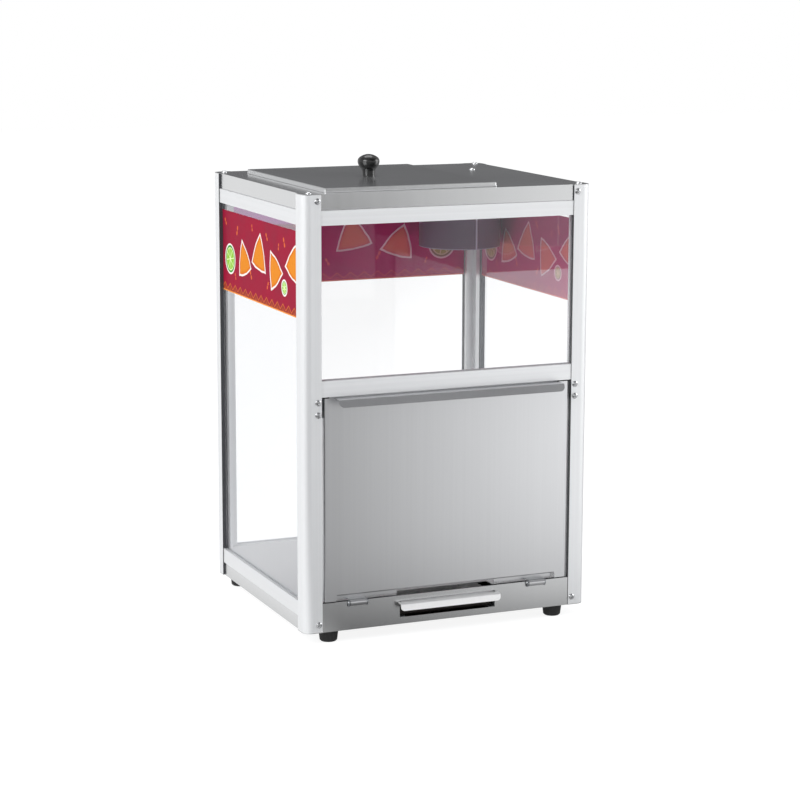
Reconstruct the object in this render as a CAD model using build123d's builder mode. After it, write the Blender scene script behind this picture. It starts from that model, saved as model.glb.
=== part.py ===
from build123d import *
import os
from math import atan2, cos, radians, sin

os.makedirs("parts", exist_ok=True)

# A counter-top chip warmer: glazed cabinet, bottom-hinged door, lift-off lid,
# crumb tray, and a lamp can under the closed strip of the top.
# Millimetres. X runs left to right as seen from the door, Y to the back, Z up.

# ---------------------------------------------------------------- sizes
cabinet_width = 406.0
cabinet_depth = 352.0
cabinet_height = 570.0
foot_height = 16.0

sheet = 1.0
bend = 1.5
seat_gap = 0.3

post_size = 25.0
post_leg = 14.5
post_round = 11.0
post_bore = 4.2
post_bore_inset = 12.5

pane = 3.0
pane_setback = 5.7
pane_play = 0.1
groove_depth = 7.0
pane_bite = 6.0
rail_groove_depth = 5.0
rail_bite = 4.5

rail_recess = 1.0
skirt_recess = 2.5
rail_gap = 0.3
top_skirt = 21.0
top_rail = 19.0
low_skirt = 19.0
low_rail = 20.0
mid_rail_low = 310.0
mid_rail_height = 21.5

front_wall_height = 38.5
front_wall_recess = 1.0
slot_width = 138.0
slot_low = 9.0
slot_high = 31.5

floor_level = 37.0
floor_front_inset = 11.0
floor_notch_depth = 18.0
crumb_slot_length = 102.0
crumb_slot_width = 5.0
crumb_slot_rows = 5
crumb_slot_pitch = 46.0

band_height = 111.5
band_drop = 9.5
film = 0.3

lid_width = 240.0
lid_depth = 295.0
lid_height = 5.6
lid_side_margin = 35.2
lid_front_margin = 14.0
lid_corner = 2.5
lid_hem = 1.4
lid_hem_step = 0.5
lid_edge = 0.8
lid_lap = 9.0
collar_height = 4.0

knob_radius = 14.7
knob_height = 28.5
knob_widest = 18.8
knob_shoulder = 7.0
knob_cheek = 1.2
knob_neck_radius = 9.8
knob_neck_height = 9.4
knob_waist_radius = 8.8
knob_waist_height = 6.4
knob_foot_radius = 8.4

door_side_gap = 4.0
door_recess = 2.0
door_return_level = 46.5
door_top_gap = 1.5
door_depth = 8.0
door_corner_tab = 17.0
door_corner_drop = 6.7
lip_inset = 14.0
lip_reach = 16.0
lip_slope = 4.5
lip_drop = 9.5
lip_corner = 7.0

hinge_offset = 129.0
hinge_axis_height = 37.0
hinge_axis_reach = 0.5
knuckle_length = 23.0
knuckle_radius = 4.2
pin_radius = 2.0
pin_fit = 0.05
pin_end = 0.6
ear_gap = 0.4
ear_thickness = 1.6
ear_radius = 3.6
hinge_notch_play = 0.9
leaf_inner = 70.5
leaf_height = 18.0
leaf_behind_face = 5.0

catch_drop = 6.0
catch_pitch = 16.0
catch_overlap = 10.0
catch_plate_height = 30.0
catch_plate_thickness = 2.0
magnet_width = 9.0
magnet_height = 26.0

tray_width = 134.0
tray_back_gap = 47.0
tray_height = 20.5
tray_wall_inset = 10.0
tray_lip_width = 144.0
tray_lip_reach = 9.5
tray_lip_drop = 9.5
tray_lip_corner = 5.0
tray_stop_gap = 1.3
runner_clearance = 1.5
runner_ledge = 9.0
runner_height = 20.0
runner_foot = 12.0
runner_back_gap = 59.7

can_radius = 57.0
can_rail_gap = 0.5
can_cover_gap = 2.5
can_height = 106.0
can_rim = 2.0
can_seam_width = 2.4
can_seam_rise = 0.6
can_screw_offset = (15.5, -7.0)
lamp_offset = 8.0
holder_radius = 15.0
holder_height = 30.0
holder_wall = 5.7
holder_step = 2.0
lamp_cap_radius = 9.0
lamp_cap_edge = 3.0
lamp_cap_show = 1.0
holder_web = 8.0
lamp_neck = 11.0
lamp_glass_radius = 22.0
lamp_bowl_turns = (32, -4, -44)

switch_from_cover = 16.0
switch_width = 13.0
switch_height = 8.4
switch_body_depth = 12.0
bezel_width = 15.0
bezel_height = 10.5
bezel_thickness = 1.5
rocker_width = 10.0
rocker_height = 6.6
rocker_crest = 2.2
rocker_depth = 3.4
rocker_tilt = 7.0
rocker_gap = 0.35
rocker_swing = 0.85
rocker_well = 6.5

gland_from_cover = 57.0
gland_hole_radius = 6.4
gland_flange_radius = 8.0
gland_flange = 3.0
gland_reach = 11.0
gland_tip_radius = 5.6
gland_bore_radius = 3.6
gland_nut_radius = 8.5
gland_nut = 3.5
gland_tail = 7.0

wiring_cover_length = 70.0
wiring_cover_gap = 1.5
wiring_cover_rest = 4.0
wiring_cover_depth = 18.0
wiring_cover_flange = 6.0
terminal_from_cover = 40.0
terminal_gap = 0.5
terminal_length = 22.0
terminal_depth = 9.0
terminal_height = 11.0
terminal_bore = 1.8
terminal_bore_depth = 4.0

bracket_arm = 33.0
bracket_thickness = 1.5

shank_sides = 8
screw_radius = 2.0
screw_hole_radius = 2.1
screw_head_sides = 12
screw_head_radius = 4.0
screw_head_height = 2.5
screw_head_taper = 20.0
top_screw_drop = 9.0
low_screw_rise = 11.0
post_screw_length = 20.0
rivet_radius = 1.7
rivet_hole_radius = 1.8
rivet_head_radius = 3.2
rivet_head_height = 1.1
rivet_head_taper = 30.0
rivet_length = 7.0
nut_radius = 3.6
nut_height = 3.0

foot_top_radius = 13.4
foot_tip_radius = 11.6
foot_edge = 1.6
foot_bore_radius = 5.2
foot_bore_depth = 8.0
front_foot_inset = (40.0, 18.5)
rear_foot_inset = (24.0, 27.0)

# ---------------------------------------------------------------- places
half_width = cabinet_width / 2
half_depth = cabinet_depth / 2
lip_edge = sheet / 2 * cos(atan2(lip_slope, lip_drop - sheet / 2))
lip_front = lip_reach + lip_slope + lip_edge - door_recess
gland_back = gland_flange + gland_reach - skirt_recess
mid_y = (lip_front - gland_back) / 2
front = mid_y - half_depth
back = mid_y + half_depth
ends = {"front": -1, "rear": 1}
sides = {"left": -1, "right": 1}

base = foot_height
top = base + cabinet_height
rail_half_x = half_width - post_size - rail_gap
rail_half_y = half_depth - post_size - rail_gap
groove_width = pane + 2 * pane_play
groove_setback = pane_setback + pane / 2
seam = top - top_skirt
window_top = seam - top_rail
low_rail_bottom = base + low_skirt
low_rail_top = low_rail_bottom + low_rail
mid_rail_bottom = base + mid_rail_low
mid_rail_top = mid_rail_bottom + mid_rail_height
catch_high = mid_rail_bottom - catch_drop
catch_low = catch_high - catch_pitch


def keep(piece, name):
    """Label a finished piece and write it."""
    piece.part.label = name
    export_step(piece.part, f"parts/{name}.step")


def across(y):
    """Plane that faces the door side at y; its own x is X and its own y is Z."""
    return Plane.XZ.offset(-y)


def shank_outline(radius=screw_hole_radius, mode=Mode.ADD):
    """Section of a screw or rivet shank, or of its hole: eight-sided, to keep the mesh light."""
    RegularPolygon(radius, shank_sides, mode=mode)


# ---------------------------------------------------------------- screw shapes
# shanks and the holes they stand in are eight-sided, heads are tapered discs
with BuildPart() as pan_screw:
    with BuildSketch():
        shank_outline(screw_radius)
    extrude(amount=-post_screw_length)
    with BuildSketch():
        RegularPolygon(screw_head_radius, screw_head_sides)
    extrude(amount=screw_head_height, taper=screw_head_taper)

with BuildPart() as rivet:
    with BuildSketch():
        shank_outline(rivet_radius)
    extrude(amount=-rivet_length)
    with BuildSketch():
        shank_outline(rivet_head_radius)
    extrude(amount=rivet_head_height, taper=rivet_head_taper)

# ---------------------------------------------------------------- corner posts
post_screw_levels = {
    "front": (top - top_screw_drop, catch_high, catch_low, base + low_screw_rise),
    "rear": (top - top_screw_drop, base + low_screw_rise),
}
post_screw_x = half_width - (post_size + post_leg) / 2


def corner_post(side_name, end_name):
    """Extruded post: two legs, rounded outside corner, a pane groove in each leg."""
    side = sides[side_name]
    end = ends[end_name]
    corner_x = side * half_width
    corner_y = mid_y + end * half_depth
    with BuildPart() as post:
        with BuildSketch(Plane.XY.offset(base + sheet)) as outline:
            with BuildLine():
                Polyline(
                    (corner_x, corner_y),
                    (corner_x - side * post_size, corner_y),
                    (corner_x - side * post_size, corner_y - end * post_leg),
                    (corner_x - side * post_leg, corner_y - end * post_leg),
                    (corner_x - side * post_leg, corner_y - end * post_size),
                    (corner_x, corner_y - end * post_size),
                    close=True,
                )
            make_face()
            fillet(outline.vertices().sort_by_distance((corner_x, corner_y, base + sheet))[0], radius=post_round)
            with Locations((corner_x - side * post_size, corner_y - end * groove_setback)):
                Rectangle(2 * groove_depth, groove_width, mode=Mode.SUBTRACT)
            with Locations((corner_x - side * groove_setback, corner_y - end * post_size)):
                Rectangle(groove_width, 2 * groove_depth, mode=Mode.SUBTRACT)
            with Locations((corner_x - side * post_bore_inset, corner_y - end * post_bore_inset)):
                shank_outline(post_bore / 2, Mode.SUBTRACT)
        extrude(amount=cabinet_height - 2 * sheet)
        with BuildSketch(across(corner_y)):
            with Locations(*[(side * post_screw_x, level) for level in post_screw_levels[end_name]]):
                shank_outline()
        extrude(amount=end * post_leg, mode=Mode.SUBTRACT)
    keep(post, f"corner_post_{end_name}_{side_name}")


for end_name in ends:
    for side_name in sides:
        corner_post(side_name, end_name)

# ---------------------------------------------------------------- rails
bracket_rivet_inset = 9.0
bracket_top_low = seam - top_rail + 4.0
top_rivet_level = bracket_top_low + 6.0
bracket_base_low = base + 5.0
low_rivet_level = base + floor_level - 8.0


def rail_section(outer, end, low, high, groove_edge):
    """Rail profile in its own plane: a bar with one pane groove along its top or bottom."""
    inner = outer + end * (rail_recess - post_leg)
    groove = outer + end * (rail_recess - groove_setback)
    with Locations(((outer + inner) / 2, (low + high) / 2)):
        Rectangle(post_leg - rail_recess, high - low)
    with Locations((groove, groove_edge)):
        Rectangle(groove_width, 2 * rail_groove_depth, mode=Mode.SUBTRACT)


def rail_along_x(name, end, low, high, groove_edge, rivet_level=None):
    """Rail of the door side or the back."""
    outer = mid_y + end * (half_depth - rail_recess)
    with BuildPart() as rail:
        with BuildSketch(Plane.YZ):
            rail_section(outer, end, low, high, groove_edge)
        extrude(amount=rail_half_x, both=True)
        if rivet_level:
            inner = mid_y + end * (half_depth - post_leg)
            with BuildSketch(across(inner)):
                with Locations(*[(s * (rail_half_x - bracket_rivet_inset), rivet_level) for s in (-1, 1)]):
                    shank_outline(rivet_hole_radius)
            extrude(amount=-end * rivet_length, mode=Mode.SUBTRACT)
    keep(rail, name)


def rail_along_y(name, side, low, high, groove_edge, rivet_level):
    """Rail of the left or right side."""
    outer = side * (half_width - rail_recess)
    with BuildPart() as rail:
        with BuildSketch(across(mid_y)):
            rail_section(outer, side, low, high, groove_edge)
        extrude(amount=rail_half_y, both=True)
        with BuildSketch(Plane.YZ.offset(side * (half_width - post_leg))):
            with Locations(*[(mid_y + s * (rail_half_y - bracket_rivet_inset), rivet_level) for s in (-1, 1)]):
                shank_outline(rivet_hole_radius)
        extrude(amount=side * rivet_length, mode=Mode.SUBTRACT)
    keep(rail, name)


for end_name, end in ends.items():
    rail_along_x(f"top_rail_{end_name}", end, window_top, seam, window_top, top_rivet_level)
for side_name, side in sides.items():
    rail_along_y(f"top_rail_{side_name}", side, window_top, seam, window_top, top_rivet_level)
    rail_along_y(f"low_rail_{side_name}", side, low_rail_bottom, low_rail_top, low_rail_top, low_rivet_level)
rail_along_x("low_rail_rear", 1, low_rail_bottom, low_rail_top, low_rail_top, low_rivet_level)
rail_along_x("mid_rail", -1, mid_rail_bottom, mid_rail_top, mid_rail_top)

# ---------------------------------------------------------------- top panel
lid_center_x = lid_side_margin + lid_width / 2 - half_width
lid_y = front + lid_front_margin + lid_depth / 2
opening_width = lid_width - 2 * lid_lap
opening_depth = lid_depth - 2 * lid_lap
can_center_x = half_width - post_leg - can_rail_gap - can_radius
cover_front = back - post_leg - wiring_cover_depth
can_y = cover_front - can_cover_gap - can_radius
can_screw_place = (can_center_x + can_screw_offset[0], can_y + can_screw_offset[1])
cover_right = half_width - post_leg - bracket_arm - wiring_cover_gap
switch_x = cover_right - switch_from_cover
gland_x = cover_right - gland_from_cover
post_centers = [
    (s * (half_width - post_bore_inset), mid_y + e * (half_depth - post_bore_inset))
    for s in (-1, 1)
    for e in (-1, 1)
]
skirt_half_x = rail_half_x
skirt_half_y = rail_half_y
skirt_back = back - skirt_recess
skirt_middle = (top + seam) / 2


def panel_outline(front_inset):
    """Flat sheet that covers the post ends and steps in between them."""
    with Locations((0, mid_y)):
        RectangleRounded(cabinet_width, cabinet_depth, post_round)
    strip_x = cabinet_width - 2 * post_size
    strip_y = cabinet_depth - 2 * post_size
    with Locations((0, front)):
        Rectangle(strip_x, 2 * front_inset, mode=Mode.SUBTRACT)
    with Locations((0, back)):
        Rectangle(strip_x, 2 * skirt_recess, mode=Mode.SUBTRACT)
    with Locations((-half_width, mid_y), (half_width, mid_y)):
        Rectangle(2 * skirt_recess, strip_y, mode=Mode.SUBTRACT)


def wall_strips():
    """Plan of the folded edges at the back and the two sides, each between two posts."""
    with Locations((0, back - skirt_recess - sheet / 2)):
        Rectangle(2 * skirt_half_x, sheet)
    wall_x = half_width - skirt_recess - sheet / 2
    with Locations((-wall_x, mid_y), (wall_x, mid_y)):
        Rectangle(sheet, 2 * skirt_half_y)


def front_strip(inset):
    """Plan of the folded edge at the door side."""
    with Locations((0, front + inset + sheet / 2)):
        Rectangle(2 * skirt_half_x, sheet)


with BuildPart() as top_panel:
    with BuildSketch(Plane.XY.offset(top - sheet)):
        panel_outline(skirt_recess)
        with Locations((lid_center_x, lid_y)):
            Rectangle(opening_width, opening_depth, mode=Mode.SUBTRACT)
        with Locations(*post_centers, can_screw_place):
            shank_outline(mode=Mode.SUBTRACT)
    extrude(amount=sheet)
    with BuildSketch(Plane.XY.offset(seam + seat_gap)):
        wall_strips()
        front_strip(skirt_recess)
    extrude(amount=top_skirt - seat_gap)
    with BuildSketch(Plane.XY.offset(top - sheet)):
        with Locations((lid_center_x, lid_y)):
            Rectangle(opening_width + 2 * sheet, opening_depth + 2 * sheet)
            Rectangle(opening_width, opening_depth, mode=Mode.SUBTRACT)
    extrude(amount=sheet + collar_height)
    with BuildSketch(across(skirt_back)):
        with Locations((switch_x, skirt_middle)):
            Rectangle(switch_width + 2 * pane_play, switch_height + 2 * pane_play)
        with Locations((gland_x, skirt_middle)):
            Circle(gland_hole_radius)
    extrude(amount=sheet, mode=Mode.SUBTRACT)
keep(top_panel, "top_panel")

# ---------------------------------------------------------------- bottom pan
slot_middle = base + (slot_low + slot_high) / 2
notch_half = knuckle_length / 2 + ear_gap + ear_thickness + hinge_notch_play
notch_low = base + hinge_axis_height - knuckle_radius - hinge_notch_play
wall_top = base + front_wall_height
foot_places = [(s * (half_width - front_foot_inset[0]), front + front_foot_inset[1]) for s in (-1, 1)]
foot_places += [(s * (half_width - rear_foot_inset[0]), back - rear_foot_inset[1]) for s in (-1, 1)]

with BuildPart() as bottom_pan:
    with BuildSketch(Plane.XY.offset(base)):
        panel_outline(front_wall_recess)
        with Locations(*post_centers, *foot_places):
            shank_outline(mode=Mode.SUBTRACT)
    extrude(amount=sheet)
    with BuildSketch(Plane.XY.offset(base)):
        wall_strips()
    extrude(amount=low_skirt - seat_gap)
    with BuildSketch(Plane.XY.offset(base)):
        front_strip(front_wall_recess)
    extrude(amount=front_wall_height)
    with BuildSketch(across(front)):
        with Locations((0, slot_middle)):
            Rectangle(slot_width, slot_high - slot_low)
        with Locations((-hinge_offset, wall_top), (hinge_offset, wall_top)):
            Rectangle(2 * notch_half, 2 * (wall_top - notch_low))
    extrude(amount=-post_leg, mode=Mode.SUBTRACT)
keep(bottom_pan, "bottom_pan")

# ---------------------------------------------------------------- floor plate
floor_low = base + floor_level
floor_front = front + floor_front_inset
floor_back = back - post_leg - seat_gap
floor_half = half_width - post_leg - seat_gap
floor_shoulder = front + post_leg + bracket_thickness + seat_gap
with BuildPart() as floor_plate:
    with BuildSketch(Plane.XY.offset(floor_low)):
        with Locations((0, (floor_front + floor_back) / 2)):
            Rectangle(2 * floor_half, floor_back - floor_front)
        corner = half_width - post_size - rail_gap
        with Locations((-half_width, floor_front), (half_width, floor_front)):
            Rectangle(2 * (half_width - corner), 2 * (floor_shoulder - floor_front), mode=Mode.SUBTRACT)
        with Locations((0, floor_front)):
            Rectangle(2 * (leaf_inner - sheet), 2 * floor_notch_depth, mode=Mode.SUBTRACT)
        with Locations((0, mid_y)):
            with GridLocations(1, crumb_slot_pitch, 1, crumb_slot_rows):
                SlotOverall(crumb_slot_length, crumb_slot_width, mode=Mode.SUBTRACT)
    extrude(amount=sheet)
keep(floor_plate, "floor_plate")

# ---------------------------------------------------------------- panes and printed bands
window_half = rail_half_x + rail_gap + pane_bite
side_pane_half = rail_half_y + rail_gap + pane_bite
full_pane_low = low_rail_top - rail_bite
full_pane_high = window_top + rail_bite


def pane_along_x(name, end, low, high):
    """Pane of the door side or the back, standing in the grooves."""
    face = mid_y + end * (half_depth - pane_setback)
    with BuildPart() as glazing:
        with BuildSketch(across(face)):
            with Locations((0, (low + high) / 2)):
                Rectangle(2 * window_half, high - low)
        extrude(amount=end * pane)
    keep(glazing, name)


def pane_along_y(name, side):
    """Pane of the left or right side, standing in the grooves."""
    face = side * (half_width - pane_setback)
    with BuildPart() as glazing:
        with BuildSketch(Plane.YZ.offset(face)):
            with Locations((mid_y, (full_pane_low + full_pane_high) / 2)):
                Rectangle(2 * side_pane_half, full_pane_high - full_pane_low)
        extrude(amount=-side * pane)
    keep(glazing, name)


pane_along_x("front_window", -1, mid_rail_top - rail_bite, full_pane_high)
pane_along_x("rear_pane", 1, full_pane_low, full_pane_high)
for side_name, side in sides.items():
    pane_along_y(f"{side_name}_pane", side)

band_middle = window_top - band_drop - band_height / 2
for side_name, side in sides.items():
    with BuildPart() as band:
        with BuildSketch(Plane.YZ.offset(side * (half_width - pane_setback))):
            with Locations((mid_y, band_middle)):
                Rectangle(2 * rail_half_y, band_height)
        extrude(amount=side * film)
    keep(band, f"header_band_{side_name}")
with BuildPart() as rear_band:
    with BuildSketch(across(back - pane_setback)):
        with Locations((0, band_middle)):
            Rectangle(2 * rail_half_x, band_height)
    extrude(amount=-film)
keep(rear_band, "header_band_rear")

# ---------------------------------------------------------------- corner brackets
def corner_brackets(name, low, high, screw_level, rivet_level):
    """Four angle brackets behind the posts; each arm laps post and rail."""
    corner_x = half_width - post_leg
    corner_y = half_depth - post_leg
    reach_x = corner_x - bracket_arm
    reach_y = corner_y - bracket_arm
    rivet_x = rail_half_x - bracket_rivet_inset
    rivet_y = rail_half_y - bracket_rivet_inset
    with BuildPart() as brackets:
        for s in (-1, 1):
            for e in (-1, 1):
                with BuildSketch(Plane.XY.offset(low)):
                    with BuildLine():
                        Polyline(
                            (s * corner_x, mid_y + e * corner_y),
                            (s * reach_x, mid_y + e * corner_y),
                            (s * reach_x, mid_y + e * (corner_y - bracket_thickness)),
                            (s * (corner_x - bracket_thickness), mid_y + e * (corner_y - bracket_thickness)),
                            (s * (corner_x - bracket_thickness), mid_y + e * reach_y),
                            (s * corner_x, mid_y + e * reach_y),
                            close=True,
                        )
                    make_face()
                extrude(amount=high - low)
        with BuildSketch(across(mid_y)):
            with Locations(*[(s * post_screw_x, screw_level) for s in (-1, 1)]):
                shank_outline()
            with Locations(*[(s * rivet_x, rivet_level) for s in (-1, 1)]):
                shank_outline(rivet_hole_radius)
        extrude(amount=half_depth, both=True, mode=Mode.SUBTRACT)
        with BuildSketch(Plane.YZ):
            with Locations(*[(mid_y + e * rivet_y, rivet_level) for e in (-1, 1)]):
                shank_outline(rivet_hole_radius)
        extrude(amount=half_width, both=True, mode=Mode.SUBTRACT)
    keep(brackets, name)


corner_brackets("top_corner_brackets", bracket_top_low, top - sheet, top - top_screw_drop, top_rivet_level)
corner_brackets("low_corner_brackets", bracket_base_low, base + floor_level, base + low_screw_rise, low_rivet_level)

# ---------------------------------------------------------------- lid and knob
lid_low = top + seat_gap
lid_high = lid_low + lid_height
with BuildPart() as lid:
    with BuildSketch(Plane.XY.offset(lid_low)):
        with Locations((lid_center_x, lid_y)):
            RectangleRounded(lid_width, lid_depth, lid_corner)
    extrude(amount=lid_height)
    chamfer(lid.faces().sort_by(Axis.Z)[-1].edges(), length=lid_edge)
    with BuildSketch(Plane.XY.offset(lid_low)):
        with Locations((lid_center_x, lid_y)):
            RectangleRounded(lid_width + 2 * lid_hem_step, lid_depth + 2 * lid_hem_step, lid_corner + lid_hem_step)
    extrude(amount=lid_hem)
    with BuildSketch(Plane.XY.offset(lid_low)):
        with Locations((lid_center_x, lid_y)):
            RectangleRounded(lid_width - 2 * sheet, lid_depth - 2 * sheet, lid_corner - sheet)
    extrude(amount=lid_height - sheet, mode=Mode.SUBTRACT)
    with BuildSketch(Plane.XY.offset(lid_low)):
        with Locations((lid_center_x, lid_y)):
            shank_outline()
    extrude(amount=lid_height, mode=Mode.SUBTRACT)
keep(lid, "lid")

knob_plane = Plane(origin=(lid_center_x, lid_y, lid_high), x_dir=(1, 0, 0), z_dir=(0, -1, 0))
# the crown's arc is centred on the axis and runs into the shoulder's arc without a corner
head_rise = knob_height - knob_widest
shoulder_x = knob_radius - knob_shoulder
crown_radius = (head_rise**2 + shoulder_x**2 - knob_shoulder**2) / (2 * (head_rise - knob_shoulder))
crown_angle = atan2(shoulder_x, crown_radius - head_rise)
crown_low = knob_height - crown_radius
with BuildPart() as lid_knob:
    with BuildSketch(knob_plane):
        with BuildLine():
            stem = Polyline(
                (0, 0),
                (knob_foot_radius, 0),
                (knob_waist_radius, knob_waist_height),
                (knob_neck_radius, knob_neck_height),
            )
            cheek = ThreePointArc(
                stem @ 1,
                (knob_radius - knob_cheek, (knob_neck_height + knob_widest) / 2),
                (knob_radius, knob_widest),
            )
            shoulder = TangentArc(
                cheek @ 1,
                (crown_radius * sin(crown_angle), crown_low + crown_radius * cos(crown_angle)),
                tangent=(0, 1),
            )
            crown = ThreePointArc(
                shoulder @ 1,
                (crown_radius * sin(crown_angle / 2), crown_low + crown_radius * cos(crown_angle / 2)),
                (0, knob_height),
            )
            Line(crown @ 1, stem @ 0)
        make_face()
    revolve(axis=Axis((lid_center_x, lid_y, 0), (0, 0, 1)))
    with BuildSketch(Plane.XY.offset(lid_high)):
        with Locations((lid_center_x, lid_y)):
            shank_outline()
    extrude(amount=post_screw_length - sheet + seat_gap, mode=Mode.SUBTRACT)
keep(lid_knob, "lid_knob")

washer_thickness = 1.0
washer_radius = 6.5
with BuildPart() as knob_washer:
    with BuildSketch(Plane.XY.offset(lid_high - sheet - washer_thickness)):
        with Locations((lid_center_x, lid_y)):
            Circle(washer_radius)
            shank_outline(mode=Mode.SUBTRACT)
    extrude(amount=washer_thickness)
keep(knob_washer, "knob_washer")

with BuildPart() as knob_screw:
    add(pan_screw.part.moved(Location((lid_center_x, lid_y, lid_high - sheet - washer_thickness), (180, 0, 0))))
keep(knob_screw, "knob_screw")

# ---------------------------------------------------------------- door
door_half = half_width - post_size - door_side_gap
door_face = front + door_recess
door_mid = door_face + sheet / 2
door_high = mid_rail_bottom - door_top_gap
door_low = base + door_return_level
return_half = door_half - door_corner_tab
lip_half = door_half - lip_inset
lip_line = door_high - sheet / 2
lip_tip_y = door_face - lip_reach - lip_slope
lip_tip_z = door_high - lip_drop
leaf_front = door_face + sheet + leaf_behind_face
return_line = door_low + sheet / 2
weld_height = 11.0
fold_zone = 4.0

with BuildPart() as door_skin:
    with BuildSketch(across(door_face)):
        with Locations((0, (door_low + door_high) / 2)):
            Rectangle(2 * door_half, door_high - door_low)
        tab_x = door_half - door_corner_tab / 2 + 0.5
        with Locations((-tab_x, door_low), (tab_x, door_low)):
            Rectangle(door_corner_tab - 1.0, 2 * door_corner_drop)
        with Locations((0, door_high)):
            Rectangle(2 * lip_half, 2 * fold_zone, mode=Mode.SUBTRACT)
        with Locations((0, door_low)):
            Rectangle(2 * return_half, 2 * fold_zone, mode=Mode.SUBTRACT)
    extrude(amount=-sheet)
    # side flanges
    flange_low = door_low - door_corner_drop + 1.0
    flange_high = door_high - sheet
    with BuildSketch(across(door_face)):
        flange_x = door_half - sheet / 2
        with Locations((-flange_x, (flange_low + flange_high) / 2), (flange_x, (flange_low + flange_high) / 2)):
            Rectangle(sheet, flange_high - flange_low)
    extrude(amount=-door_depth)
    long_folds = door_skin.edges().filter_by(Axis.Z).group_by(Axis.Y)[0]
    fillet(long_folds.filter_by(lambda e: abs(abs(e.center().X) - door_half) < 0.01), radius=bend - 0.3)
    # pull lip: out over the face, then down
    with BuildSketch(Plane.YZ):
        with BuildLine():
            FilletPolyline(
                (door_mid, door_high - fold_zone),
                (door_mid, lip_line),
                (door_face - lip_reach, lip_line),
                (lip_tip_y, lip_tip_z),
                radius=bend,
            )
        trace(line_width=sheet)
    extrude(amount=lip_half, both=True)
    # bottom return: back behind the face, then up for the hinge leaves
    with BuildSketch(Plane.YZ):
        with BuildLine():
            FilletPolyline(
                (door_mid, door_low + fold_zone),
                (door_mid, return_line),
                (leaf_front - sheet / 2, return_line),
                (leaf_front - sheet / 2, door_low + weld_height),
                radius=bend,
            )
        trace(line_width=sheet)
    extrude(amount=return_half, both=True)
    lip_ends = door_skin.edges().filter_by(
        lambda e: e.length < 1.5 * sheet and e.center().Y < lip_tip_y + 2 and abs(abs(e.center().X) - lip_half) < 0.01
    )
    lip_tips = lip_ends.filter_by(lambda e: e.center().Z < lip_tip_z + 1)
    fillet(lip_tips, radius=lip_corner)
keep(door_skin, "door_skin")

# ---------------------------------------------------------------- hinge leaves, pins, brackets
axis_y = front - hinge_axis_reach
axis_z = base + hinge_axis_height
leaf_low = axis_z + knuckle_radius - sheet
leaf_outer = return_half - 1.0
knuckle_half = knuckle_length / 2
ear_half = knuckle_half + ear_gap + ear_thickness
wall_back = front + front_wall_recess + sheet
bracket_low = base + 14.0

for side_name, side in sides.items():
    tab_center = side * hinge_offset
    with BuildPart() as hinge_leaf:
        with BuildSketch(across(leaf_front)):
            with Locations((side * (leaf_inner + leaf_outer) / 2, leaf_low + leaf_height / 2)):
                Rectangle(leaf_outer - leaf_inner, leaf_height)
        extrude(amount=-sheet)
        with BuildSketch(Plane.YZ.offset(tab_center)):
            with Locations((axis_y, axis_z)):
                Circle(knuckle_radius)
            with Locations(((axis_y + leaf_front) / 2, leaf_low + sheet / 2)):
                Rectangle(leaf_front - axis_y, sheet)
            with Locations((axis_y, axis_z)):
                Circle(pin_radius + pin_fit, mode=Mode.SUBTRACT)
        extrude(amount=knuckle_half, both=True)
    keep(hinge_leaf, f"hinge_leaf_{side_name}")

    with BuildPart() as hinge_pin:
        with BuildSketch(Plane.YZ.offset(tab_center)):
            with Locations((axis_y, axis_z)):
                Circle(pin_radius)
        extrude(amount=ear_half + pin_end, both=True)
        chamfer(hinge_pin.edges().filter_by(GeomType.CIRCLE), length=0.4)
    keep(hinge_pin, f"hinge_pin_{side_name}")

    with BuildPart() as hinge_bracket:
        with BuildSketch(across(wall_back)):
            with Locations((tab_center, (bracket_low + notch_low) / 2)):
                Rectangle(2 * ear_half, notch_low - bracket_low)
        extrude(amount=-ear_thickness)
        for s in (-1, 1):
            with BuildSketch(Plane.YZ.offset(tab_center + s * (knuckle_half + ear_gap))):
                with Locations((axis_y, axis_z)):
                    Circle(ear_radius)
                with BuildLine():
                    Polyline(
                        (axis_y - ear_radius * 0.8, axis_z - ear_radius * 0.6),
                        (wall_back, notch_low - 6.0),
                        (wall_back + ear_thickness, notch_low - 6.0),
                        (wall_back + ear_thickness, axis_z),
                        (axis_y, axis_z + ear_radius),
                        close=True,
                    )
                make_face()
                with Locations((axis_y, axis_z)):
                    Circle(pin_radius, mode=Mode.SUBTRACT)
            extrude(amount=s * ear_thickness)
        # the ears stand clear of the wall below the notch
        with BuildSketch(Plane.YZ.offset(tab_center)):
            with Locations((wall_back - 10.0, notch_low - 10.0)):
                Rectangle(20.0, 20.0)
        extrude(amount=ear_half, both=True, mode=Mode.SUBTRACT)
    keep(hinge_bracket, f"hinge_bracket_{side_name}")

# ---------------------------------------------------------------- door catches
catch_face = front + post_leg
catch_middle = (catch_low + catch_high) / 2
catch_inner = door_half - catch_overlap
catch_outer = half_width - post_leg - seat_gap
flange_back = door_face + door_depth
with BuildPart() as catch_plates:
    for s in (-1, 1):
        with BuildSketch(across(catch_face)):
            with Locations((s * (catch_inner + catch_outer) / 2, catch_middle)):
                Rectangle(catch_outer - catch_inner, catch_plate_height)
            with Locations((s * post_screw_x, catch_low), (s * post_screw_x, catch_high)):
                shank_outline(mode=Mode.SUBTRACT)
        extrude(amount=-catch_plate_thickness)
keep(catch_plates, "catch_plates")

with BuildPart() as catch_magnets:
    for s in (-1, 1):
        with BuildSketch(across(catch_face)):
            with Locations((s * (catch_inner + magnet_width / 2), catch_middle)):
                Rectangle(magnet_width, magnet_height)
        extrude(amount=catch_face - flange_back - seat_gap)
keep(catch_magnets, "catch_magnets")

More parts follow.
